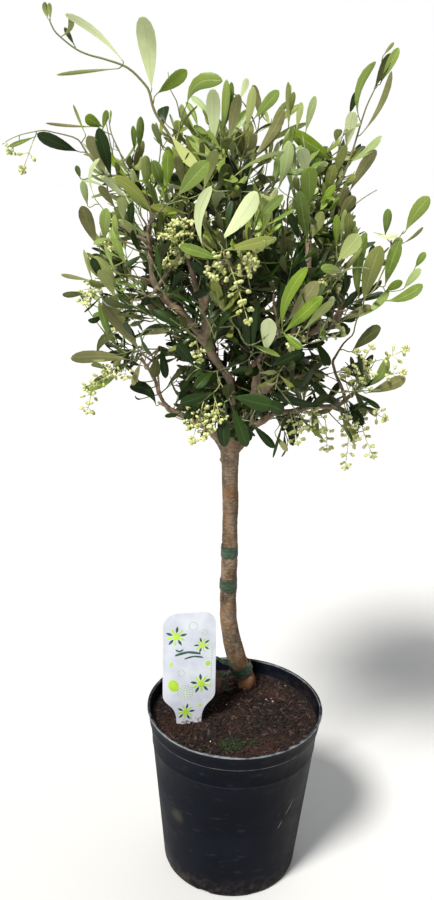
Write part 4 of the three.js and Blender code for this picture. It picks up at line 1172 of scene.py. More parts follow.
def flower_spray(foot, tip, pairs, crowded):
    """A spray: one thin axis with side branches in pairs, three buds on each, three at the tip."""
    if wood.reach(foot) > 1.5:
        wood.grow(foot, unit(tip - foot), 0.5)
    steps = np.linspace(0, 1, 2 * pairs + 2)[:, None]
    length = np.linalg.norm(tip - foot)
    bow = unit(np.cross(tip - foot, (0.2, 1, 0.1))) * length * draw.uniform(-0.07, 0.07)
    axis = foot + (tip - foot) * steps + bow * 4 * steps * (1 - steps)
    stalks.append(tube(axis, np.linspace(0.55, 0.38, len(axis)), 5))
    way = unit(tip - foot)
    side, other = square_to(way, (0.3, 0.8, 0.2))
    turn = draw.uniform(0, math.pi)
    for i in range(1, pairs + 1):
        at = axis[min(2 * i, len(axis) - 2)]
        share = i / (pairs + 1)
        for half_turn in (0, math.pi):
            a = turn + half_turn + draw.uniform(-0.3, 0.3)
            out = side * math.cos(a) + other * math.sin(a)
            line = unit(out + way * draw.uniform(0.3, 0.7))
            long = draw.uniform(5, 8) * (1.25 - 0.6 * share) * (1.15 if crowded else 1)
            end = at + line * long
            stalks.append(tube(np.array([at, at + line * long * 0.5, end]), (0.34, 0.3, 0.26), 4))
            aside = unit(np.cross(line, way + 0.1))
            knot = [line]
            knot += [unit(line * 0.5 + k * aside + draw.normal(0, 0.15, 3)) for k in (-1, 1)]
            if crowded:
                knot += [unit(line * 0.2 + draw.normal(0, 0.7, 3))]
            for heading in knot:
                if draw.random() < 0.9:
                    place = end + heading * draw.uniform(1.8, 3.4)
                    buds.append((place, heading, draw.uniform(0.8, 1.15)))
        turn += math.pi / 2
    for heading in (way, unit(way * 0.4 + side), unit(way * 0.4 - side)):
        buds.append((axis[-1] + heading * 2.4, heading, draw.uniform(0.85, 1.1)))


def grow_sprays():
    """The sprays that show best, then four more in each mass that flowers."""
    for values in number_rows(SPRAYS):
        flower_spray(values[:3], values[3:6], int(values[6]), values[7] > 0)
    for part in ("low_back", "back_left", "back_right", "back", "low_left", "right", "left"):
        low, high = box_of("leaves_" + part)
        for _ in range(4):
            spot = low + (high - low) * draw.uniform(0.15, 0.85, 3)
            tip = spot + np.array([draw.normal(0, 7), draw.normal(0, 7), -draw.uniform(18, 34)])
            if wood.reach(spot) < 45 and not too_far(tip) and not in_the_way(np.array([spot, tip])):
                flower_spray(spot, tip, int(draw.integers(3, 6)), draw.random() < 0.3)


grow_sprays()

# ------------------------------------------------------------------ Geometry Nodes


def geometry_tree(name, inputs):
    """A new tree with geometry in and out and named inputs. Returns it, what its input node
    gives out, and its inputs' identifiers."""
    tree = bpy.data.node_groups.new(name, "GeometryNodeTree")
    tree.interface.new_socket("Geometry", in_out="INPUT", socket_type="NodeSocketGeometry")
    tree.interface.new_socket("Geometry", in_out="OUTPUT", socket_type="NodeSocketGeometry")
    ids = {}
    for label, kind in inputs.items():
        socket = tree.interface.new_socket(label, in_out="INPUT", socket_type="NodeSocket" + kind)
        ids[label] = socket.identifier
    return tree, add(tree, "NodeGroupInput", out=None).outputs, ids


def place_copies(tree, ins, points, turn, size):
    """Ends a tree: puts the shape at each point, makes it real and gives it the material."""
    shape = add(tree, "GeometryNodeObjectInfo", {"Object": ins["Shape"]}, "Geometry")
    values = {"Points": points, "Instance": shape, "Rotation": turn, "Scale": size}
    copies = add(tree, "GeometryNodeInstanceOnPoints", values)
    real = add(tree, "GeometryNodeRealizeInstances", [copies])
    painted = add(tree, "GeometryNodeSetMaterial", {"Geometry": real, "Material": ins["Material"]})
    add(tree, "NodeGroupOutput", [painted], None)


def scatter_tree():
    """Strews copies of a shape over a surface."""
    inputs = {
        "Shape": "Object",
        "Number per square metre": "Float",
        "Smallest": "Float",
        "Largest": "Float",
        "Tilt": "Float",
        "Seed": "Int",
        "Material": "Material",
    }
    tree, ins, ids = geometry_tree("strew_over_surface", inputs)
    seed, tilt = ins["Seed"], ins["Tilt"]
    surface = {"Mesh": ins["Geometry"], "Density": ins["Number per square metre"], "Seed": seed}
    spots = add(tree, "GeometryNodeDistributePointsOnFaces", surface)
    back = add(tree, "Math", [tilt, -1.0], operation="MULTIPLY")
    least = add(tree, "CombineXYZ", [back, back, 0.0])
    most = add(tree, "CombineXYZ", [tilt, tilt, 2 * math.pi])
    turns = {0: least, 1: most, "Seed": seed}
    turn = add(tree, "FunctionNodeRandomValue", turns, data_type="FLOAT_VECTOR")
    sizes = {2: ins["Smallest"], 3: ins["Largest"], "Seed": seed}
    size = add(tree, "FunctionNodeRandomValue", sizes, 1, data_type="FLOAT")
    place_copies(tree, ins, spots, turn, size)
    return tree, ids


def bud_tree():
    """Puts a shape at each point, turned to the point's heading and scaled by its size."""
    inputs = {"Shape": "Object", "Scale": "Float", "Material": "Material"}
    tree, ins, ids = geometry_tree("buds_on_stalks", inputs)
    kind = "GeometryNodeInputNamedAttribute"
    heading = add(tree, kind, {"Name": "heading"}, data_type="FLOAT_VECTOR")
    size = add(tree, kind, {"Name": "size"}, data_type="FLOAT")
    size = add(tree, "Math", [size, ins["Scale"]], operation="MULTIPLY")
    turn = add(tree, "FunctionNodeAlignRotationToVector", {"Vector": heading}, axis="Z")
    place_copies(tree, ins, ins["Geometry"], turn, size)
    return tree, ids


def run_tree(name, carrier, tree, ids, values):
    """Runs a tree on a carrier mesh and leaves its result as a plain mesh called name."""
    modifier = carrier.modifiers.new("nodes", "NODES")
    modifier.node_group = tree
    for label, value in values.items():
        modifier[ids[label]] = value
    made = settled(carrier, name)
    made.data.shade_smooth()
    return made


def egg(name, long, wide, rings, sides, rough=0.0):
    """A closed egg of a few dozen faces, lying along Z, dented by rough."""
    points = [[0, 0, -long / 2]]
    for r in range(1, rings):
        polar = math.pi * r / rings
        radius, height = math.sin(polar) * wide / 2, -math.cos(polar) * long / 2
        for s in range(sides):
            a = 2 * math.pi * s / sides
            dent = 1 + rough * (draw.random() - 0.5)
            points.append([radius * math.cos(a) * dent, radius * math.sin(a) * dent, height * dent])
    points.append([0, 0, long / 2])
    top = len(points) - 1
    faces = turned_over(cap(0, range(1, 1 + sides)))
    faces += wrapped_quads(rings - 1, sides, first=1) + cap(top, range(top - sides, top))
    return piece(name, points, faces)


# ------------------------------------------------------------------ the plant's pieces


def leaf_pieces():
    """One piece for each kind of leaf, with an upper and a lower face."""
    skins = {  # for each side: its colour, a second one and the rib's
        # The old leaves' very dark colours are partly painted shade for the inside of the crown.
        "old": (("#0e1c06", "#23380f", "#4a6030"), ("#30361a", "#4c5230", "#686e44")),
        "grown": (("#46601a", "#7a8c3e", "#a8b472"), ("#727c44", "#9aa264", "#b2ba80")),
        "young": (("#4e680a", "#748c24", "#a9b65a"), ("#8c9a54", "#b0bc7c", "#c8d29c")),
        "sage": (("#505820", "#7e863e", "#aab076"), ("#6a6a40", "#8a8a5e", "#a6a680")),
        "silver": (("#62763e", "#8e9e66", "#b6c098"), ("#9eac76", "#c2cc9e", "#a4b282")),
    }
    upper, lower = leaf_faces()
    made = []
    for kind, (top, under) in skins.items():
        wax = 0.22 if kind == "old" else 0.42
        materials = [
            leaf_skin(f"olive_leaf_{kind}_upper", *top, wax),
            leaf_skin(f"olive_leaf_{kind}_lower", *under),
        ]
        for start in range(0, len(leaves[kind]), MOST_LEAVES):
            share = leaves[kind][start : start + MOST_LEAVES]
            points, faces = joined([(shape, upper + lower) for shape, _ in share])
            spots = np.concatenate([spot for _, spot in share])
            slots = np.tile([0] * len(upper) + [1] * len(lower), len(share))
            name = "leaves_" + kind + ("_more" if start else "")
            leaf = piece(name, points, faces, materials, slots, {"leaf_place": spots})
            edges = np.empty(len(leaf.data.edges) * 2, np.int32)
            leaf.data.edges.foreach_get("vertices", edges)
            margin = np.abs(spots[edges.reshape(-1, 2), 0]) > 0.9
            sharp = leaf.data.attributes.new("sharp_edge", "BOOLEAN", "EDGE")
            sharp.data.foreach_set("value", margin.all(1))
            made.append(leaf)
    return made


BROWN_FROM = 0.95  # the mean radius from which a twig is last year's wood


def twig_pieces():
    """Last year's brown twigs and this year's green shoots, as tubes."""
    brown_skin = twig_skin("olive_twig_brown_grown", "#574839", "#86755f", 0.8)
    green_skin = twig_skin("olive_shoot_green_grown", "#5d6640", "#8a9062", 0.6)
    jobs = (("branchlets", True, 7, brown_skin), ("green_shoots", False, 5, green_skin))
    made = []
    for name, brown, sides, skin in jobs:
        twigs = [twig for twig in wood.twigs if (twig[1].mean() >= BROWN_FROM) == brown]
        made.append(piece(name, *joined([tube(*twig, sides) for twig in twigs]), [skin]))
    return made


def flower_pieces():
    """The buds, and the stalks that carry them."""
    bud = egg("bud_shape", BUD_LONG, BUD_WIDE, 5, 6)
    places, headings, sizes = (np.array(values) for values in zip(*buds))
    carrier = piece("bud_places", places, [], attributes={"heading": headings, "size": sizes})
    skin = plain_skin("olive_bud_cream_grown", "#98a054", "#cccd94", 0.6, 7)
    tree, ids = bud_tree()
    values = {"Shape": bud, "Scale": 1.0, "Material": skin}
    made = run_tree("flower_buds", carrier, tree, ids, values)
    bud_stalk = plain_skin("olive_flower_stalk_grown", "#8c9050", "#b8b878", 0.6, 9)
    bpy.data.objects.remove(bud)
    return [made, piece("flower_stalks", *joined(stalks), [bud_stalk])]


bark = bark_piece(olive_bark())
leaf_objects = leaf_pieces()
twig_objects = twig_pieces()
flower_objects = flower_pieces()

# ------------------------------------------------------------------ pot

POT_RIM, POT_FOOT, POT_WALL, POT_FLOOR = 105.0, 81.5, 1.8, 2.4
POT_BAND, POT_STEP, POT_LIP = 20.0, 1.3, 1.2
POT_SIDES = 160
NOTCHES, NOTCH_WIDE, NOTCH_DEEP, NOTCH_HIGH, NOTCH_SLOPE = 8, 16.0, 6.0, 5.0, 1.2
HOLES, HOLE_RADIUS, HOLE_RING = 4, 7.0, 48.0


def body_radius(z):
    """The radius of the pot's tapering wall at a height."""
    return POT_FOOT + (POT_RIM - POT_STEP - POT_LIP - POT_FOOT) * z / POT_HEIGHT


def lathe(profile, sides, sway):
    """A closed turned shape. The profile starts and ends on the axis. sway moves a point out by
    its angle, radius and height."""
    inner = profile[1:-1]
    points = []
    for s in range(sides):
        a = 2 * math.pi * s / sides
        for r, z in inner:
            radius = r + sway(a, r, z)
            points.append([radius * math.cos(a), radius * math.sin(a), z])
    n = len(inner)
    total = sides * n
    columns = zip(range(0, total, n), [*range(n, total, n), 0])
    faces = [(a + i, b + i, b + i + 1, a + i + 1) for a, b in columns for i in range(n - 1)]
    faces += turned_over(cap(total, range(0, total, n)))
    faces += cap(total + 1, range(n - 1, total, n))
    return points + [[0, 0, profile[0][1]], [0, 0, profile[-1][1]]], faces


def arc(cx, cz, radius, start, end, count):
    """Points round a corner, angles in degrees from +r towards +z."""
    turns = np.radians(np.linspace(start, end, count))
    return [(cx + radius * math.cos(a), cz + radius * math.sin(a)) for a in turns]


def pot_piece(material):
    """The moulded pot: rounded foot, a stiffening bead, the stepped band and a rolled lip."""
    band_foot = POT_HEIGHT - POT_BAND
    bead_at, ledge = 170.0, body_radius(band_foot)
    bead = ((-1, 0.35), (0, 0.5), (1, 0.35), (2.4, 0.0))
    outside = [(0, 0), (POT_FOOT - 12, 0)] + arc(body_radius(5) - 5, 5, 5, -90, -4, 7)
    outside += [(body_radius(z), z) for z in (12, 30, 60, 95, 130, bead_at - 2.4)]
    outside += [(body_radius(bead_at + up) + lift, bead_at + up) for up, lift in bead]
    outside += [
        (body_radius(band_foot - 0.6), band_foot - 0.6),
        (ledge + 0.2, band_foot),
        (ledge + POT_STEP - 0.3, band_foot + 0.5),
        (ledge + POT_STEP, band_foot + 1.4),
    ]
    outside += [(body_radius(z) + POT_STEP, z) for z in (band_foot + 8, POT_HEIGHT - 5.2)]
    outside += [(body_radius(POT_HEIGHT) + POT_STEP + 0.25, POT_HEIGHT - 3.9)]
    outside += arc(POT_RIM - 1.5, POT_HEIGHT - 1.5, 1.5, -30, 90, 7)
    inside = arc(POT_RIM - POT_LIP - POT_WALL + 0.9, POT_HEIGHT - 0.9, 0.9, 90, 180, 4)
    inside += [(body_radius(z) + POT_STEP - POT_WALL, z) for z in (POT_HEIGHT - 8, band_foot + 1.2)]
    inside += [(body_radius(z) - POT_WALL, z) for z in (band_foot - 1, 120, 60, 12)]
    inside += arc(body_radius(POT_FLOOR) - POT_WALL - 4, POT_FLOOR + 4, 4, -4, -90, 5)
    inside += [(0, POT_FLOOR)]
    sway = lambda a, r, z: 0.35 * math.sin(2 * a + 0.7) * (z / POT_HEIGHT) ** 2 * (r > 60)
    points, faces = lathe(outside + inside, POT_SIDES, sway)
    pot = piece("pot_blank", points, faces, [material])
    cutters = []
    corners = ((-NOTCH_DEEP, -1), (NOTCH_DEEP, -1), (NOTCH_DEEP, 1), (-NOTCH_DEEP, 1))
    for i in range(NOTCHES):
        a = (i + 0.5) / NOTCHES * 2 * math.pi - math.pi / 2
        radial = np.array([math.cos(a), math.sin(a)])
        tangent = np.array([-math.sin(a), math.cos(a)])
        block = [
            [*(radial * (POT_FOOT + r) + tangent * (t * half)), z]
            for z, half in ((-1.0, NOTCH_WIDE / 2), (NOTCH_HIGH, NOTCH_WIDE / 2 - NOTCH_SLOPE))
            for r, t in corners
        ]
        cutters.append((np.array(block), [(3, 2, 1, 0), (4, 5, 6, 7), *wrapped_quads(2, 4)]))
    for i in range(HOLES):
        a = i / HOLES * 2 * math.pi + math.pi / 2
        centre = np.array([HOLE_RING * math.cos(a), HOLE_RING * math.sin(a), 0])
        drill = np.array([[0, 0, -6], [0, 0, 0], [0, 0, 9]])
        cutters.append(tube(centre + drill, [HOLE_RADIUS] * 3, 24))
    cutter = piece("pot_cutter", *joined(cutters), [material])
    cut = pot.modifiers.new("cut", "BOOLEAN")
    cut.operation, cut.solver, cut.object = "DIFFERENCE", "EXACT", cutter
    made = settled(pot, "pot_moulded")
    bpy.data.objects.remove(cutter)
    made.data.shade_smooth()
    made.data.set_sharp_from_angle(angle=math.radians(38))
    return made


pot = pot_piece(moulded_polypropylene())

# ------------------------------------------------------------------ compost


WALL_GAP = 0.35  # between the compost and the pot's wall
PATCH_GRID = 3.0
MOUND_HIGH, MOUND_WIDE = 2.2, 26
LUMPS = ((1.9, 14, 1.3), (1.5, 5, 7.1), (0.8, 2.2, 3.7))  # height, size, and which slice of noise


def soil_height(x, y):
    """The compost's surface: dished, lumpy, pushed up a little round the stem's foot."""
    r = math.hypot(x, y)
    level = SOIL_TOP - SOIL_DISH * (1 - (r / 100) ** 2)
    lumps = sum(high * noise.noise(Vector((x / size, y / size, cut))) for high, size, cut in LUMPS)
    stem_x, stem_y = STEM[0][:2]
    mound = MOUND_HIGH * math.exp(-(((x - stem_x) ** 2 + (y - stem_y) ** 2) / MOUND_WIDE**2))
    edge = min(1.0, (101 - r) / 6)
    return level + lumps * edge + mound


def compost_piece(material):
    """The compost as one closed plug whose top is a fine uneven grid."""
    rings, sides = 62, 150
    top_radius = body_radius(SOIL_TOP) + POT_STEP - POT_WALL - WALL_GAP
    points = [[0, 0, soil_height(0, 0)]]
    for r in range(1, rings + 1):
        radius = top_radius * r / rings
        for s in range(sides):
            a = 2 * math.pi * (s + 0.5 * (r % 2)) / sides
            x, y = radius * math.cos(a), radius * math.sin(a)
            points.append([x, y, soil_height(x, y)])
    for z, inset in ((190, 0.0), (60, 0.0), (POT_FLOOR + 4.4, 0.0), (POT_FLOOR + 0.4, 4.2)):
        radius = min(body_radius(z) - POT_WALL - WALL_GAP - inset, top_radius)
        for s in range(sides):
            a = 2 * math.pi * s / sides
            points.append([radius * math.cos(a), radius * math.sin(a), z])
    points.append([0, 0, POT_FLOOR + 0.4])
    foot = len(points) - 1
    faces = wrapped_quads(rings + 4, sides, first=1) + cap(foot, range(foot - sides, foot))
    faces = cap(0, range(1, 1 + sides)) + turned_over(faces)
    return piece("compost", points, faces, [material])


def surface_patch(name, middle, radii):
    """A small part of the compost's surface, only to strew things on."""
    xs, ys = (np.arange(-radius, radius + PATCH_GRID, PATCH_GRID) for radius in radii)
    index, points, faces = {}, [], []
    for i, x in enumerate(xs):
        for j, y in enumerate(ys):
            if (x / radii[0]) ** 2 + (y / radii[1]) ** 2 <= 1:
                index[i, j] = len(points)
                px, py = middle[0] + x, middle[1] + y
                points.append([px, py, soil_height(px, py) + 0.3])
    for (i, j), a in index.items():
        corners = [index.get((i + u, j + v)) for u, v in ((1, 0), (1, 1), (0, 1))]
        if None not in corners:
            faces.append((a, *corners))
    return piece(name, points, faces)


def chip_shape(name, long, wide, high):
    """A splinter of bark: a flat sliver with uneven ends."""
    corners = ((-1, -0.4), (0, -1), (1, -0.5), (1, 0.6), (0, 1), (-1, 0.5))
    uneven = lambda size: size / 2 * (1 + 0.2 * draw.normal())
    points = [
        [x * uneven(long), y * uneven(wide), z * high / 2] for z in (-1, 1) for x, y in corners
    ]
    return piece(name, points, [(5, 4, 3, 2, 1, 0), (6, 7, 8, 9, 10, 11), *wrapped_quads(2, 6)])


def hair_shape(name):
    """A curved fibre of shredded wood or fine root."""
    stations = [[-8, 0, 0], [-4, 1.6, 0.8], [1, 1.2, 1.2], [5, -1.2, 0.9], [8, -1.0, 0]]
    line = curve_through(stations, 2.5)
    return piece(name, *tube(line, np.linspace(0.28, 0.14, len(line)), 3))


def moss_shape(name):
    """A tuft of moss: six short leaning blades."""
    blades = []
    for a in np.arange(6) * 2 * math.pi / 6:
        lean = np.array([math.cos(a), math.sin(a), 0]) * 0.9
        line = np.array([[0, 0, -0.3], [0, 0, 1.0], [0, 0, 2.0]]) + np.outer((0, 0.5, 1.2), lean)
        blades.append(tube(line, (0.36, 0.3, 0.08), 4))
    return piece(name, *joined(blades))


def strewn_pieces():
    """What lies loose on the compost."""
    tree, ids = scatter_tree()
    shapes = {
        "crumb": egg("crumb_shape", 2.6, 2.2, 4, 6, rough=0.7),
        "fibre": hair_shape("fibre_shape"),
        "chip": chip_shape("chip_shape", 5, 2.4, 0.9),
        "grit": egg("perlite_shape", 3.0, 2.6, 4, 6, rough=0.5),
        "moss": moss_shape("moss_shape"),
    }
    dark = wet_compost("peat_crumbs_milled", "#090504", "#18100c", 4)
    fibre = crumb_material("wood_fibre_shredded", "#35221a", "#5a4134", 4)
    chips = crumb_material("bark_chips_milled", "#241512", "#422a21", 5)
    perlite = crumb_material("perlite_popped", "#cfcac0", "#aea69a", 3)
    moss = crumb_material("moss_grown", "#0f1b09", "#273e15", 5)
    whole = ((0, 0), (95, 95))
    jobs = [  # name, place, shape, number per square metre, sizes, tilt, seed, material
        ("peat_crumbs", whole, "crumb", 60000, 0.5, 1.9, 3.1, 3, dark),
        ("wood_fibres", whole, "fibre", 7000, 0.4, 1.3, 0.4, 4, fibre),
        ("bark_chips", whole, "chip", 14000, 0.5, 1.5, 0.6, 5, chips),
        ("perlite", whole, "grit", 260, 0.5, 1.0, 3.1, 6, perlite),
        ("perlite_by_stem", ((46, 52), (16, 22)), "grit", 2600, 0.5, 1.0, 3.1, 8, perlite),
        ("moss", ((-4, -58), (17, 14)), "moss", 200000, 0.6, 1.7, 0.5, 7, moss),
        ("moss_beside", ((22, -50), (12, 9)), "moss", 120000, 0.6, 1.6, 0.5, 9, moss),
    ]
    made = []
    for name, (middle, radii), shape, number, small, large, tilt, seed, material in jobs:
        values = {
            "Shape": shapes[shape],
            "Number per square metre": float(number),
            "Smallest": small,
            "Largest": large,
            "Tilt": tilt,
            "Seed": seed,
            "Material": material,
        }
        patch = surface_patch(name + "_patch", middle, radii)
        made.append(run_tree(name, patch, tree, ids, values))
    for shape in shapes.values():
        bpy.data.objects.remove(shape)
    return made


compost = compost_piece(wet_compost("peat_compost_damp", "#0a0605", "#1a100b", 7))
strewn = strewn_pieces()

# ------------------------------------------------------------------ label

LABEL_FOOT = (-54.5, -16)
LABEL_WIDE, LABEL_HIGH, LABEL_THICK = 63.0, 142.0, 0.8
LABEL_DEEP = 20.0  # how far it is stuck in
LABEL_NECK, LABEL_SHOULDER, LABEL_CORNER = 30.0, 104.0, 17.0
LABEL_BOW = 1.1
LABEL_TURN, LABEL_LEAN = math.radians(12), math.radians(4)
INK_OVER, INK_UNDER = 0.14, 0.1  # how far the ink stands out of the sheet and reaches into it


def label_outline():
    """Half of the label's outline from the foot up, as (x, height)."""
    w, n, shoulder = LABEL_WIDE / 2, LABEL_NECK / 2, LABEL_HIGH - LABEL_SHOULDER
    half = [(n - 1.5, -LABEL_DEEP), (n, -LABEL_DEEP + 2), (n, 2)]
    start, a, b, end = np.array([(n, 2), (n, shoulder - 12), (w, 24), (w, shoulder)], float)
    for t in np.linspace(0, 1, 12)[1:]:
        bends = (1 - t) ** 3 * start + 3 * t * (1 - t) ** 2 * a + 3 * t**2 * (1 - t) * b
        half.append(tuple(bends + t**3 * end))
    half += [(w, 80), (w, LABEL_HIGH - LABEL_CORNER - 1)]
    for a in np.linspace(0.1, math.pi / 2, 9):
        inwards, down = LABEL_CORNER * (1 - math.cos(a)), LABEL_CORNER * (1 - math.sin(a))
        half.append((w - inwards, LABEL_HIGH - down))
    return half


def on_label(x, height, lift):
    """A place on the label, lift in front of the middle of its sheet, which bows a little from
    side to side."""
    bow = LABEL_BOW * (1 - (x / (LABEL_WIDE / 2)) ** 2) * max(0.0, min(1.0, height / 60))
    local = Vector((x, -lift - bow, height))
    local = Matrix.Rotation(-LABEL_LEAN, 4, "X") @ local
    local = Matrix.Rotation(LABEL_TURN, 4, "Z") @ local
    return np.array(local) + (LABEL_FOOT[0], LABEL_FOOT[1], SOIL_TOP)


def label_piece(material):
    """The sheet, in strips from side to side so that it can bow, with rounded corners."""
    half = label_outline()
    across = np.linspace(-1, 1, 13)
    front, back = LABEL_THICK / 2, -LABEL_THICK / 2
    points = [on_label(x * a, z, lift) for lift in (front, back) for x, z in half for a in across]
    n, m = len(half), len(across)
    total = n * m
    grid = [(i, i + 1, i + m + 1, i + m) for i in range(total - m) if i % m < m - 1]
    rim = [*range(m), *range(2 * m - 1, total, m)]
    rim += [*range(total - 2, total - m - 1, -1), *range(total - 2 * m, 0, -m)]
    faces = grid + turned_over([tuple(total + i for i in face) for face in grid])
    faces += [(b, a, a + total, b + total) for a, b in zip(rim, [*rim[1:], rim[0]])]
    made = piece("label_sheet", points, faces, [material])
    made.data.set_sharp_from_angle(angle=math.radians(40))
    return made


def printed(name, outlines, material):
    """Flat prints on the label, each a closed flake of ink from an outline of (x, height)."""
    shapes = []
    for outline in outlines:
        n, middle = len(outline), np.mean(outline, axis=0)
        inner = middle + (np.array(outline) - middle) * 0.5
        over, under = LABEL_THICK / 2 + INK_OVER, LABEL_THICK / 2 - INK_UNDER
        points = [on_label(*spot, over) for spot in (middle, *inner, *outline)]
        points += [on_label(*spot, under) for spot in (*outline, middle)]
        sides = wrapped_quads(3, n, first=1) + cap(1 + 3 * n, range(1 + 2 * n, 1 + 3 * n))
        shapes.append((np.array(points), cap(0, range(1, 1 + n)) + turned_over(sides)))
    return piece(name, *joined(shapes), [material], smooth=False)


def turned(x, z, outline, turn):
    """An outline turned about the label's foot and moved to (x, z)."""
    c, s = math.cos(turn), math.sin(turn)
    return [(x + u * c - v * s, z + u * s + v * c) for u, v in outline]


def oval(x, z, wide, high, turn=0.0, count=20):
    """An oval print round (x, z)."""
    turns = np.linspace(0, 2 * math.pi, count, endpoint=False)
    return turned(x, z, [(wide / 2 * math.cos(a), high / 2 * math.sin(a)) for a in turns], turn)


def pointed(x, z, long, wide, turn):
    """A pointed leaf print from its foot at (x, z)."""
    right = [(t * long, -wide / 2 * math.sin(math.pi * t**0.9)) for t in np.linspace(0, 1, 9)]
    left = [(u, -v) for u, v in right[-2:0:-1]]
    return turned(x, z, right + left, turn)


def band(x, z, wide, high, lift):
    """A curved stroke, as a thin arch."""
    us = np.linspace(-wide / 2, wide / 2, 9)
    arch = [(u, lift * (1 - (2 * u / wide) ** 2)) for u in us]
    foot = [(x + u, z + v - high / 2) for u, v in arch]
    return foot + [(x + u, z + v + high / 2) for u, v in arch[::-1]]


def rays(x, z, size, turn):
    """Five pointed leaves round (x, z)."""
    away = 0.36 * size
    return [
        pointed(x + away * math.cos(a), z + away * math.sin(a), size * 0.66, size * 0.24, a)
        for a in turn + np.arange(5) * 2 * math.pi / 5
    ]


def dot_ring(x, z, radius, spots, size=1.7):
    """Dots in a ring round (x, z)."""
    return [
        oval(x + radius * math.cos(a), z + radius * math.sin(a), size, size, count=10)
        for a in np.arange(spots) * 2 * math.pi / spots
    ]


def label_prints():
    """A plain design of its own: rayed spots, rings of dots and a few soft strokes."""
    dark = plain_skin("printed_ink_deep_green", "#1f4438", "#2a5244", 0.4, 9)
    lime = plain_skin("printed_ink_lime", "#a2c832", "#b6d648", 0.4, 12)
    pale = plain_skin("printed_ink_soft_green", "#93b27c", "#a8c190", 0.4, 12)
    suns = ((-16, 113, 13, 0.2), (15, 100, 10, 0.6), (14, 50, 13, 0.4), (-4, 14, 11, 0.1))
    dark_rays = [ray for x, z, size, turn in suns for ray in rays(x, z, size, turn)]
    lime_spots = [oval(x, z, size * 0.7, size * 0.7) for x, z, size, _ in suns]
    lime_rays = [ray for x, z, size, turn in suns for ray in rays(x, z, size * 0.9, turn + 0.6)]
    lime_spots.append(oval(-19, 50, 12, 16, 0.4))
    for x, z, size in ((22, 76, 6), (-22, 78, 5), (13, 22, 4)):
        lime_spots.append(oval(x, z, size, size))
    dots = dot_ring(-5, 40, 3, 6) + dot_ring(-5, 40, 6, 11) + dot_ring(-5, 40, 9, 16)
    dots += dot_ring(18, 116, 3, 6, 1.4) + dot_ring(-10, 66, 4, 8, 1.4)
    dots += [oval(27 - 0.1 * k, 96 - 3.4 * k, 1.8, 1.8, count=8) for k in range(16)]
    dots += dot_ring(4, 125, 5, 18, 1.1)
    strokes = [band(-2, 89, 30, 2.2, 3.4), band(5, 84, 22, 1.4, 2.4), band(-12, 96, 9, 1.8, -2.0)]
    return [
        printed("label_print_dark", dark_rays + strokes, dark),
        printed("label_print_lime", lime_spots + lime_rays, lime),
        printed("label_print_pale", dots, pale),
    ]


label = label_piece(label_sheet())
prints = label_prints()

# ------------------------------------------------------------------ tie tape

TAPES = {"tape_upper": (395, 15), "tape_lower": (349, 15), "tape_foot": (227, 12)}
TAPE_THICK = 0.45
TAPE_TURNS = 2.4
TAPE_LOOP = [[-5, 54, 236], [-16, 51, 241], [-23, 50, 247], [-27, 49, 242], [-25, 48, 231],
    [-19, 49, 224], [-12, 51, 222], [-6, 53, 228]]
TAPE_END = [[-12, 50, 226], [-15, 48, 217], [-12, 46, 208], [-6, 45, 204]]


def ribbon(middles, outs, ups, width):
    """A closed strip of creased tape: middles along it, outs away from what it lies on, ups
    across it."""
    across = np.linspace(-0.5, 0.5, 5)
    rings = []
    for i, (middle, out, up) in enumerate(zip(middles, outs, ups)):
        crease = [0.16 * math.sin(1.7 * i + 5 * a) for a in across]
        line = [(middle + up * width * a, c) for a, c in zip(across, crease)]
        top = [spot + out * (TAPE_THICK / 2 + c) for spot, c in line]
        low = [spot + out * (-TAPE_THICK / 2 + c) for spot, c in line[::-1]]
        rings.append(np.array(top + low))
    m, total = len(rings[0]), sum(map(len, rings))
    faces = wrapped_quads(len(rings), m)
    faces += [tuple(range(m - 1, -1, -1)), tuple(range(total - m, total))]
    if np.cross(ups[0], outs[0]).dot(middles[1] - middles[0]) > 0:
        faces = [face[::-1] for face in faces]
    return np.concatenate(rings), faces


def tape_piece(material):
    """Three windings round the stem, each of two to three turns, and a loop and a loose end at
    the lowest."""
    course = curve_through(STEM, 2.0)
    shapes = []
    for number, (name, (height, width)) in enumerate(TAPES.items()):
        at = int(np.abs(course[:, 2] - height).argmin())
        middle, way, radius = course[at, :3], along(course[:, :3])[at], course[at, 3]
        side, other = square_to(way, (0, 1, 0.05))
        middles, outs, ups = [], [], []
        for a in np.arange(0, TAPE_TURNS * 2 * math.pi, 0.22):
            out = side * math.cos(a) + other * math.sin(a)
            drift = 1.6 * math.sin(a * 0.41 + number) + 0.6 * math.sin(2.3 * a)
            away = radius + 0.7 + 0.42 * a / (2 * math.pi) + 0.25 * math.sin(3 * a + number)
            middles.append(middle + out * away + way * drift)
            outs.append(out)
            ups.append(unit(way + out * 0.04 * math.sin(2 * a)))
        shapes.append(ribbon(middles, outs, ups, width - 2.5))
    slant = np.array([0.15, 1.0, 0.25])
    for stations, width in ((TAPE_LOOP, 6.0), (TAPE_END, 7.0)):
        line = curve_through(stations, 3)
        ways = along(line)
        ups = np.array([unit(slant - way * way.dot(slant)) for way in ways])
        shapes.append(ribbon(line, np.cross(ups, ways), ups, width))
    made = piece("tie_tape", *joined(shapes), [material])
    made.data.set_sharp_from_angle(angle=math.radians(50))
    return made


tape = tape_piece(tie_tape())

# ------------------------------------------------------------------ what each piece stands for

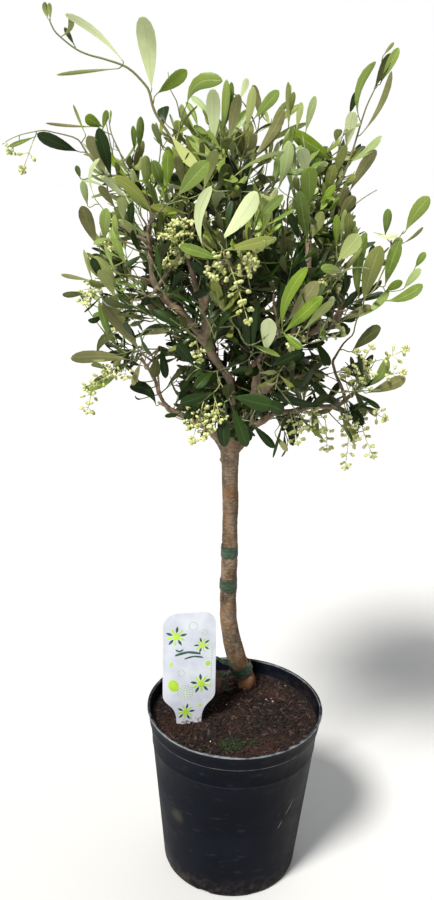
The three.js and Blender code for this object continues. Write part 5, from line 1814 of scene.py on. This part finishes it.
standing_for = [  # pieces, slot, the frame's nodes that these pieces replace, which are hidden
    ([bark], "bark", nodes_called("trunk", "bough_")),
    (leaf_objects, "leaves", MASS_NAMES + SHOOT_NAMES),
    (twig_objects, "bark", []),
    (flower_objects, "flowers", FLOWER_NAMES),
    ([pot], "pot", ["pot"]),
    ([compost, *strewn], "soil", ["soil"]),
    ([label, *prints], "label", ["plant_label"]),
    ([tape], "tape", sorted(TAPES)),
]
for objects, slot, nodes in standing_for:
    for made in objects:
        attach(made, "root")
    if nodes:
        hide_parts(*nodes)

# ------------------------------------------------------------------ floor and light


FLOOR_REACH, FLOOR_AT = 12000, -0.4
# The sky's light from the horizon up: bright low down, then a dim ceiling with a brighter top.
GLOW_UP = ((0, "#ffffff"), (0.12, "#ffffff"), (0.26, "#4a4a4a"), (0.6, "#6e6e6e"), (1, "#d8d8d8"))


def soft_sun(name, place, strength, softness, colour):
    """A lamp far off in the direction of place, as soft as its width in degrees says."""
    light = bpy.data.lights.new(name, "SUN")
    light.energy, light.angle, light.color = strength, math.radians(softness), colour
    made = bpy.data.objects.new(name, light)
    made.rotation_euler = (-Vector(place)).to_track_quat("-Z", "Y").to_euler()
    bpy.context.scene.collection.objects.link(made)


def set_studio():
    """A pale floor without a seam, a soft bright ceiling over it, and one large lamp from the
    upper left."""
    signs = ((-1, -1), (1, -1), (1, 1), (-1, 1))
    corners = [(x * FLOOR_REACH, y * FLOOR_REACH, FLOOR_AT) for x, y in signs]
    material = start_material("floor_pale_matt", "#bababa", 0.95)[0]
    floor = piece("floor", corners, [(0, 1, 2, 3)], [material], smooth=False)
    world = bpy.data.worlds.new("studio")
    world.use_nodes = True
    tree = world.node_tree
    up = add(tree, "SeparateXYZ", [add(tree, "TexCoord", out="Generated")], "Z")
    glow = add(tree, "ValToRGB", [up], stops=GLOW_UP)
    tree.links.new(glow, tree.nodes["Background"].inputs["Color"])
    bpy.context.scene.world = world
    soft_sun("key", KEY_FROM, 6.0, 14, (1.0, 0.98, 0.93))
    soft_sun("top_light", (0.3, 0.5, 1.3), 1.0, 50, (0.97, 0.99, 1.0))
    bpy.context.scene.view_settings.view_transform = "Standard"


set_studio()

bpy.context.view_layer.update()
